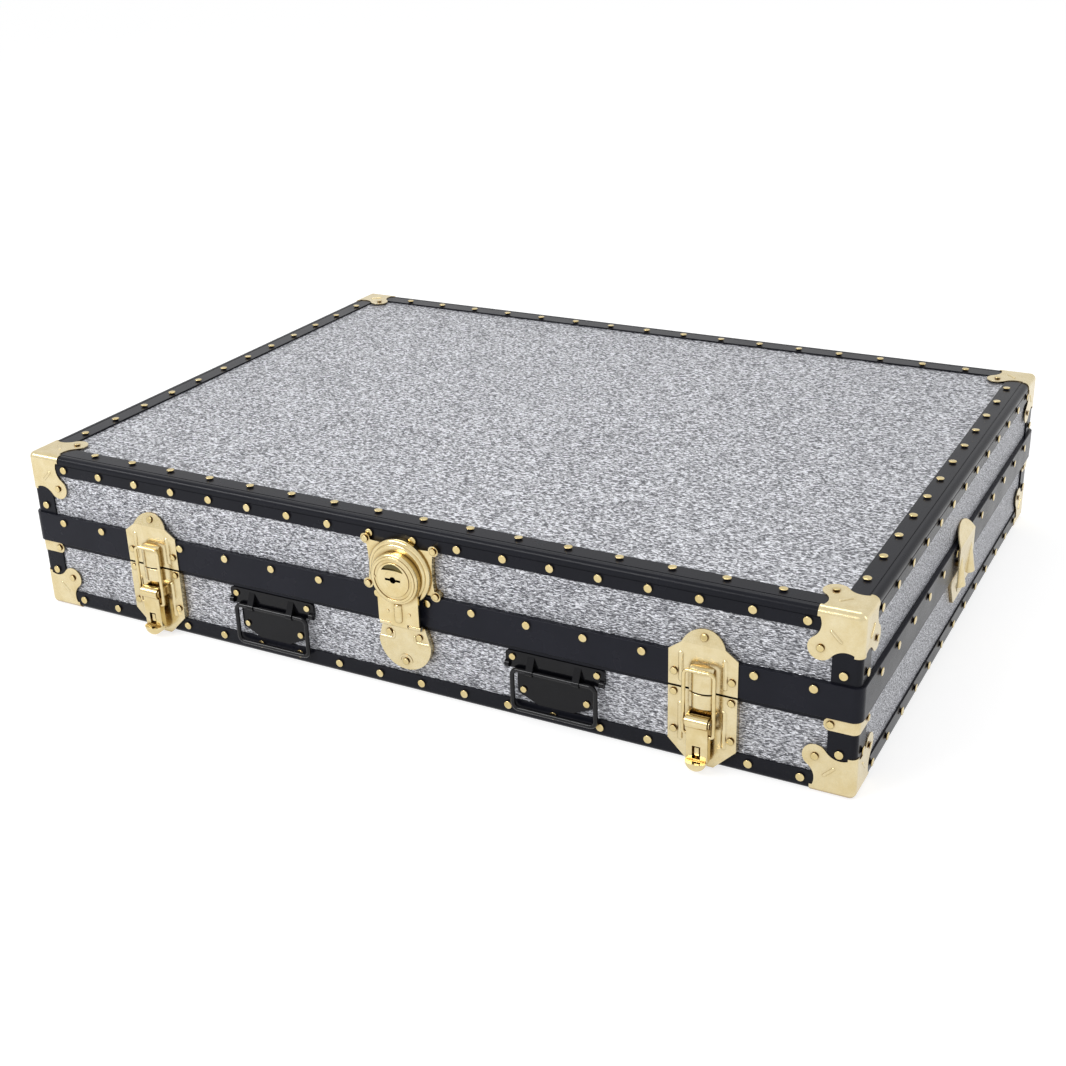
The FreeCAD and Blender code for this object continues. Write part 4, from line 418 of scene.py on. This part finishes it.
drive_heads("driven_lid_nails", "lid_nails", "lid", NAIL_RADIUS, NAIL_RISE, seed=3)
drive_heads("driven_base_nails", "base_nails", "base", NAIL_RADIUS, NAIL_RISE, seed=5)
drive_heads("set_lid_rivets", "lid_rivets", "lid", RIVET_RADIUS, RIVET_RISE, seed=7)
drive_heads("set_base_rivets", "base_rivets", "base", RIVET_RADIUS, RIVET_RISE, seed=11)

# Back hinges
# Three butt hinges of zinc-plated steel, screwed to the strips at the back. The leaves are
# dull with rolling marks along them, the pins are turned.

WORKING_MARK = 0.4                     # millimetres; real marks are too fine to show
MARK_SCALE = 0.05                      # draws the marks out along the rolling or the turning


def plated_steel(name, marks_scale, rest, gleam, roughness):
    """Zinc-plated steel with its working marks along the stretched axes."""
    material, tree = new_finish(name)
    place = add(tree, "ShaderNodeTexCoord").outputs["Object"]
    drawn_out = add(tree, "ShaderNodeMapping", {"Vector": place, "Scale": marks_scale})
    marks = add(tree, "ShaderNodeTexNoise", {
        "Vector": drawn_out.outputs["Vector"], "Scale": every(WORKING_MARK), "Detail": 2.0})
    tone = add(tree, "ShaderNodeValToRGB", {"Fac": marks.outputs["Fac"]},
               stops=[(0.35, rest), (0.7, gleam)])
    bump = add(tree, "ShaderNodeBump", {
        "Height": marks.outputs["Fac"], "Strength": 0.3, "Distance": 0.0001})
    shader = add(tree, "ShaderNodeBsdfPrincipled", {
        "Base Color": tone.outputs["Color"], "Metallic": 1.0, "Roughness": roughness,
        "Normal": bump.outputs["Normal"]})
    add(tree, "ShaderNodeOutputMaterial", {"Surface": shader.outputs["BSDF"]})
    return material


pin_steel = plated_steel("turned_steel_pin", (1.0, MARK_SCALE, MARK_SCALE),
                         "#9B9DA0", "#B9BBBE", roughness=0.32)
leaf_steel = plated_steel("rolled_zinc_plated_leaf", (MARK_SCALE, 1.0, 1.0),
                          "#A7A9AB", "#BFC1C2", roughness=0.4)
dress(pin_steel, "steel", "hinge_pins", "drawbolt_pins", "lock_hinge_pin")
dress(leaf_steel, "steel", "hinge_base_leaves", "hinge_lid_leaves")

# End fittings
# Two pressed brass plates at each end: the lid's plate has two tongues that drop in front
# of the base's plate, so that the closed lid can't slide.

dress(sheet_brass, "brass", "dowel_plates", "dowel_sockets")

# Drop handles
# Pressed steel plates and bent wire grips, black japanned: dipped in lacquer and stoved to
# a deep gloss, with a little orange peel and some wear in the coat.

ORANGE_PEEL, COAT_WEAR = 2.4, 22       # millimetres, the coat's ripple and its worn places


def japanned(name, coat):
    """Black stoving lacquer over steel, with more or less gloss."""
    material, tree = new_finish(name)
    place = add(tree, "ShaderNodeTexCoord").outputs["Object"]
    peel = add(tree, "ShaderNodeTexNoise", {
        "Vector": place, "Scale": every(ORANGE_PEEL), "Detail": 2.0})
    wear = add(tree, "ShaderNodeTexNoise", {
        "Vector": place, "Scale": every(COAT_WEAR), "Detail": 5.0})
    tone = add(tree, "ShaderNodeValToRGB", {"Fac": wear.outputs["Fac"]},
               stops=[(0.35, "#08080C"), (0.75, "#0E0E12")])
    rough = add(tree, "ShaderNodeMapRange", {
        "Value": wear.outputs["Fac"], "From Min": 0.3, "From Max": 0.7,
        "To Min": 0.12, "To Max": 0.22})
    bump = add(tree, "ShaderNodeBump", {
        "Height": peel.outputs["Fac"], "Strength": 0.25, "Distance": 0.0002})
    shader = add(tree, "ShaderNodeBsdfPrincipled", {
        "Base Color": tone.outputs["Color"], "Roughness": rough.outputs[0],
        "Normal": bump.outputs["Normal"], "Specular IOR Level": 0.12,
        "Coat Weight": coat, "Coat Roughness": 0.05})
    add(tree, "ShaderNodeOutputMaterial", {"Surface": shader.outputs["BSDF"]})
    return material


plate_japan = japanned("black_japanned_plate", coat=0.2)
wire_japan = japanned("glossy_black_japanned_wire", coat=0.4)
for side in ("left", "right"):
    dress(plate_japan, "black_steel", f"{side}_handle_plate")
    dress(wire_japan, "black_steel", f"{side}_handle_bail")

# Draw bolts
# A wire loop hinged in a lever hooks over the hood on the lid and is pulled down tight.
# Pressed brass plates, with the loop and the lever a little brighter from the polisher.

BRIGHT_PALE, BRIGHT_DEEP = "#DFD0A6", "#D2BD88"

bright_brass = brass_plate("polished_brass_plate", BRIGHT_PALE, BRIGHT_DEEP,
                           smooth=0.1, dull=0.2)
for side in ("left", "right"):
    dress(sheet_brass, "brass", f"{side}_drawbolt_catch", f"{side}_drawbolt_plate")
    dress(bright_brass, "brass", f"{side}_drawbolt_lever", f"{side}_drawbolt_bail")
dress(bright_brass, "brass", "drawbolt_latches")

# Lock
# A stepped round housing on the lid, a hasp with a raised head that closes over it, and a
# key plug turning in the middle. The lower plate carries the hasp's hinge. All are pressed
# and polished brass, with painted shade in the hollow of the dial and a painted black
# shadow in the keyhole.

DIAL_MIDDLE = (0.0105, -0.34395, 0.129)      # metres, the middle of the dial's face
DIAL_PLANE = (1.0, 0.0, 1.0)                 # the two axes that the face lies along


def sunk_brass(name, reach, start, end, painted_shade):
    """Bright brass with painted shade within a reach of the dial's middle and between two depths.
    """
    material = brass_plate(name, BRIGHT_PALE, BRIGHT_DEEP, smooth=0.14, dull=0.24)
    tree = material.node_tree
    shader = next(node for node in tree.nodes if node.type == "BSDF_PRINCIPLED")
    place = add(tree, "ShaderNodeTexCoord").outputs["Object"]
    centred = add(tree, "ShaderNodeVectorMath", {0: place, 1: DIAL_MIDDLE},
                  operation="SUBTRACT")
    flat = add(tree, "ShaderNodeVectorMath", {0: centred.outputs[0], 1: DIAL_PLANE},
               operation="MULTIPLY")
    radius = add(tree, "ShaderNodeVectorMath", {0: flat.outputs[0]}, operation="LENGTH")
    depth = add(tree, "ShaderNodeSeparateXYZ", {"Vector": centred.outputs[0]}).outputs["Y"]
    inside = add(tree, "ShaderNodeMath", {0: radius.outputs["Value"], 1: reach},
                 operation="LESS_THAN")
    behind = add(tree, "ShaderNodeMath", {0: depth, 1: start}, operation="GREATER_THAN")
    before = add(tree, "ShaderNodeMath", {0: depth, 1: end}, operation="LESS_THAN")
    between = add(tree, "ShaderNodeMath", {0: behind.outputs[0], 1: before.outputs[0]},
                  operation="MULTIPLY")
    shaded_spot = add(tree, "ShaderNodeMath", {0: inside.outputs[0], 1: between.outputs[0]},
                operation="MULTIPLY")
    colour = add(tree, "ShaderNodeMix", {
        FACTOR: shaded_spot.outputs[0], COLOUR_A: shader.inputs["Base Color"].links[0].from_socket,
        COLOUR_B: linear(painted_shade)}, data_type="RGBA")
    tree.links.new(colour.outputs[MIXED_COLOUR], shader.inputs["Base Color"])
    return material


# Painted shade in the crescent hollow of the dial, and a painted black shadow in the keyhole.
hasp_brass = sunk_brass("satin_brass_with_painted_shade_crescent",
                        reach=0.0169, start=0.0005, end=0.0023, painted_shade="#5B553C")
plug_brass = sunk_brass("satin_brass_with_painted_shadow_keyhole",
                        reach=0.0088, start=0.0004, end=0.006, painted_shade="#050505")
dress(sheet_brass, "brass", "lock_hinge_plate")
dress(hasp_brass, "brass", "lock_hasp")
dress(plug_brass, "brass", "lock_key_plug")
dress(bright_brass, "brass", "lock_lid_plate")

# Floor, light and camera
# A white sweep with soft overhead and side light, and the camera where the photograph was
# taken from.

FLOOR_HALF = 9                         # metres, from the trunk to the edge of the sweep


def seen_directly(tree):
    """One for rays from the camera, a mirror or through glass, nothing for bounced light."""
    rays = add(tree, "ShaderNodeLightPath").outputs
    mirrored = add(tree, "ShaderNodeMath", {0: rays["Is Camera Ray"], 1: rays["Is Glossy Ray"]},
                   operation="MAXIMUM")
    direct = add(tree, "ShaderNodeMath", {
        0: mirrored.outputs[0], 1: rays["Is Transmission Ray"]}, operation="MAXIMUM")
    return direct.outputs[0]


white, tree = new_finish("white_sweep")
bounce = add(tree, "ShaderNodeBsdfDiffuse", {"Color": linear("#F4F4F4")})
shaded = add(tree, "ShaderNodeBsdfDiffuse", {"Color": linear("#AEAEAE")})
glow = add(tree, "ShaderNodeEmission", {"Color": linear("#FFFFFF"), "Strength": 0.76})
pale = add(tree, "ShaderNodeAddShader", {0: shaded.outputs[0], 1: glow.outputs[0]})
lit = add(tree, "ShaderNodeMixShader", {
    0: seen_directly(tree), 1: bounce.outputs[0], 2: pale.outputs[0]})
add(tree, "ShaderNodeOutputMaterial", {"Surface": lit.outputs[0]})
sweep = bpy.data.meshes.new("sweep")
sweep.from_pydata([(x * FLOOR_HALF, y * FLOOR_HALF, 0) for x, y in
                   ((-1, -1), (1, -1), (1, 1), (-1, 1))], [], [(0, 1, 2, 3)])
floor = bpy.data.objects.new("sweep", sweep)
floor.data.materials.append(white)
bpy.context.scene.collection.objects.link(floor)

world = bpy.data.worlds.new("studio")
bpy.context.scene.world = world
world.use_nodes = True
tree = world.node_tree
tree.nodes.clear()
direction = add(tree, "ShaderNodeTexCoord").outputs["Generated"]
towards = add(tree, "ShaderNodeSeparateXYZ", {"Vector": direction})
sky = add(tree, "ShaderNodeValToRGB", {"Fac": towards.outputs["Z"]},
          stops=[(0.0, "#8F9196"), (0.25, "#D8D9DC"), (0.8, "#FFFFFF")])
lamp_sky = add(tree, "ShaderNodeBackground", {"Color": sky.outputs["Color"], "Strength": 0.62})
plain = add(tree, "ShaderNodeBackground", {"Color": linear("#FFFFFF"), "Strength": 1.0})
shown = add(tree, "ShaderNodeMixShader", {
    0: seen_directly(tree), 1: lamp_sky.outputs[0], 2: plain.outputs[0]})
add(tree, "ShaderNodeOutputWorld", {"Surface": shown.outputs[0]})


def softbox(name, place, target, size, watts):
    """Rectangular lamp turned towards a point."""
    lamp = bpy.data.lights.new(name, "AREA")
    lamp.shape = "RECTANGLE"
    lamp.size, lamp.size_y = size
    lamp.energy = watts
    holder = bpy.data.objects.new(name, lamp)
    holder.location = place
    holder.rotation_euler = (Vector(target) - Vector(place)).to_track_quat("-Z", "Y").to_euler()
    bpy.context.scene.collection.objects.link(holder)


softbox("key", place=(-1.3, -2.0, 1.6), target=(0, 0, 0.1), size=(1.8, 0.5), watts=38)
softbox("overhead", place=(-0.7, 0.8, 2.3), target=(-0.2, 0, 0.1), size=(2.0, 0.8), watts=14)
softbox("side", place=(2.6, 0.4, 1.1), target=(0, 0, 0.1), size=(0.5, 1.4), watts=7)

SENSOR, LENS = 36, 52.581              # millimetres
CAMERA_PLACE = (0.75385, -1.43431, 0.7683)   # metres
CAMERA_TURNS = (65.6055, 1.6512, 27.7482)    # degrees about X, Y and Z

camera_data = bpy.data.cameras.new("camera")
camera_data.sensor_width = SENSOR
camera_data.lens = LENS
camera = bpy.data.objects.new("camera", camera_data)
camera.location = CAMERA_PLACE
camera.rotation_euler = [math.radians(turn) for turn in CAMERA_TURNS]
bpy.context.scene.collection.objects.link(camera)
bpy.context.scene.camera = camera
bpy.context.scene.view_settings.view_transform = "Standard"
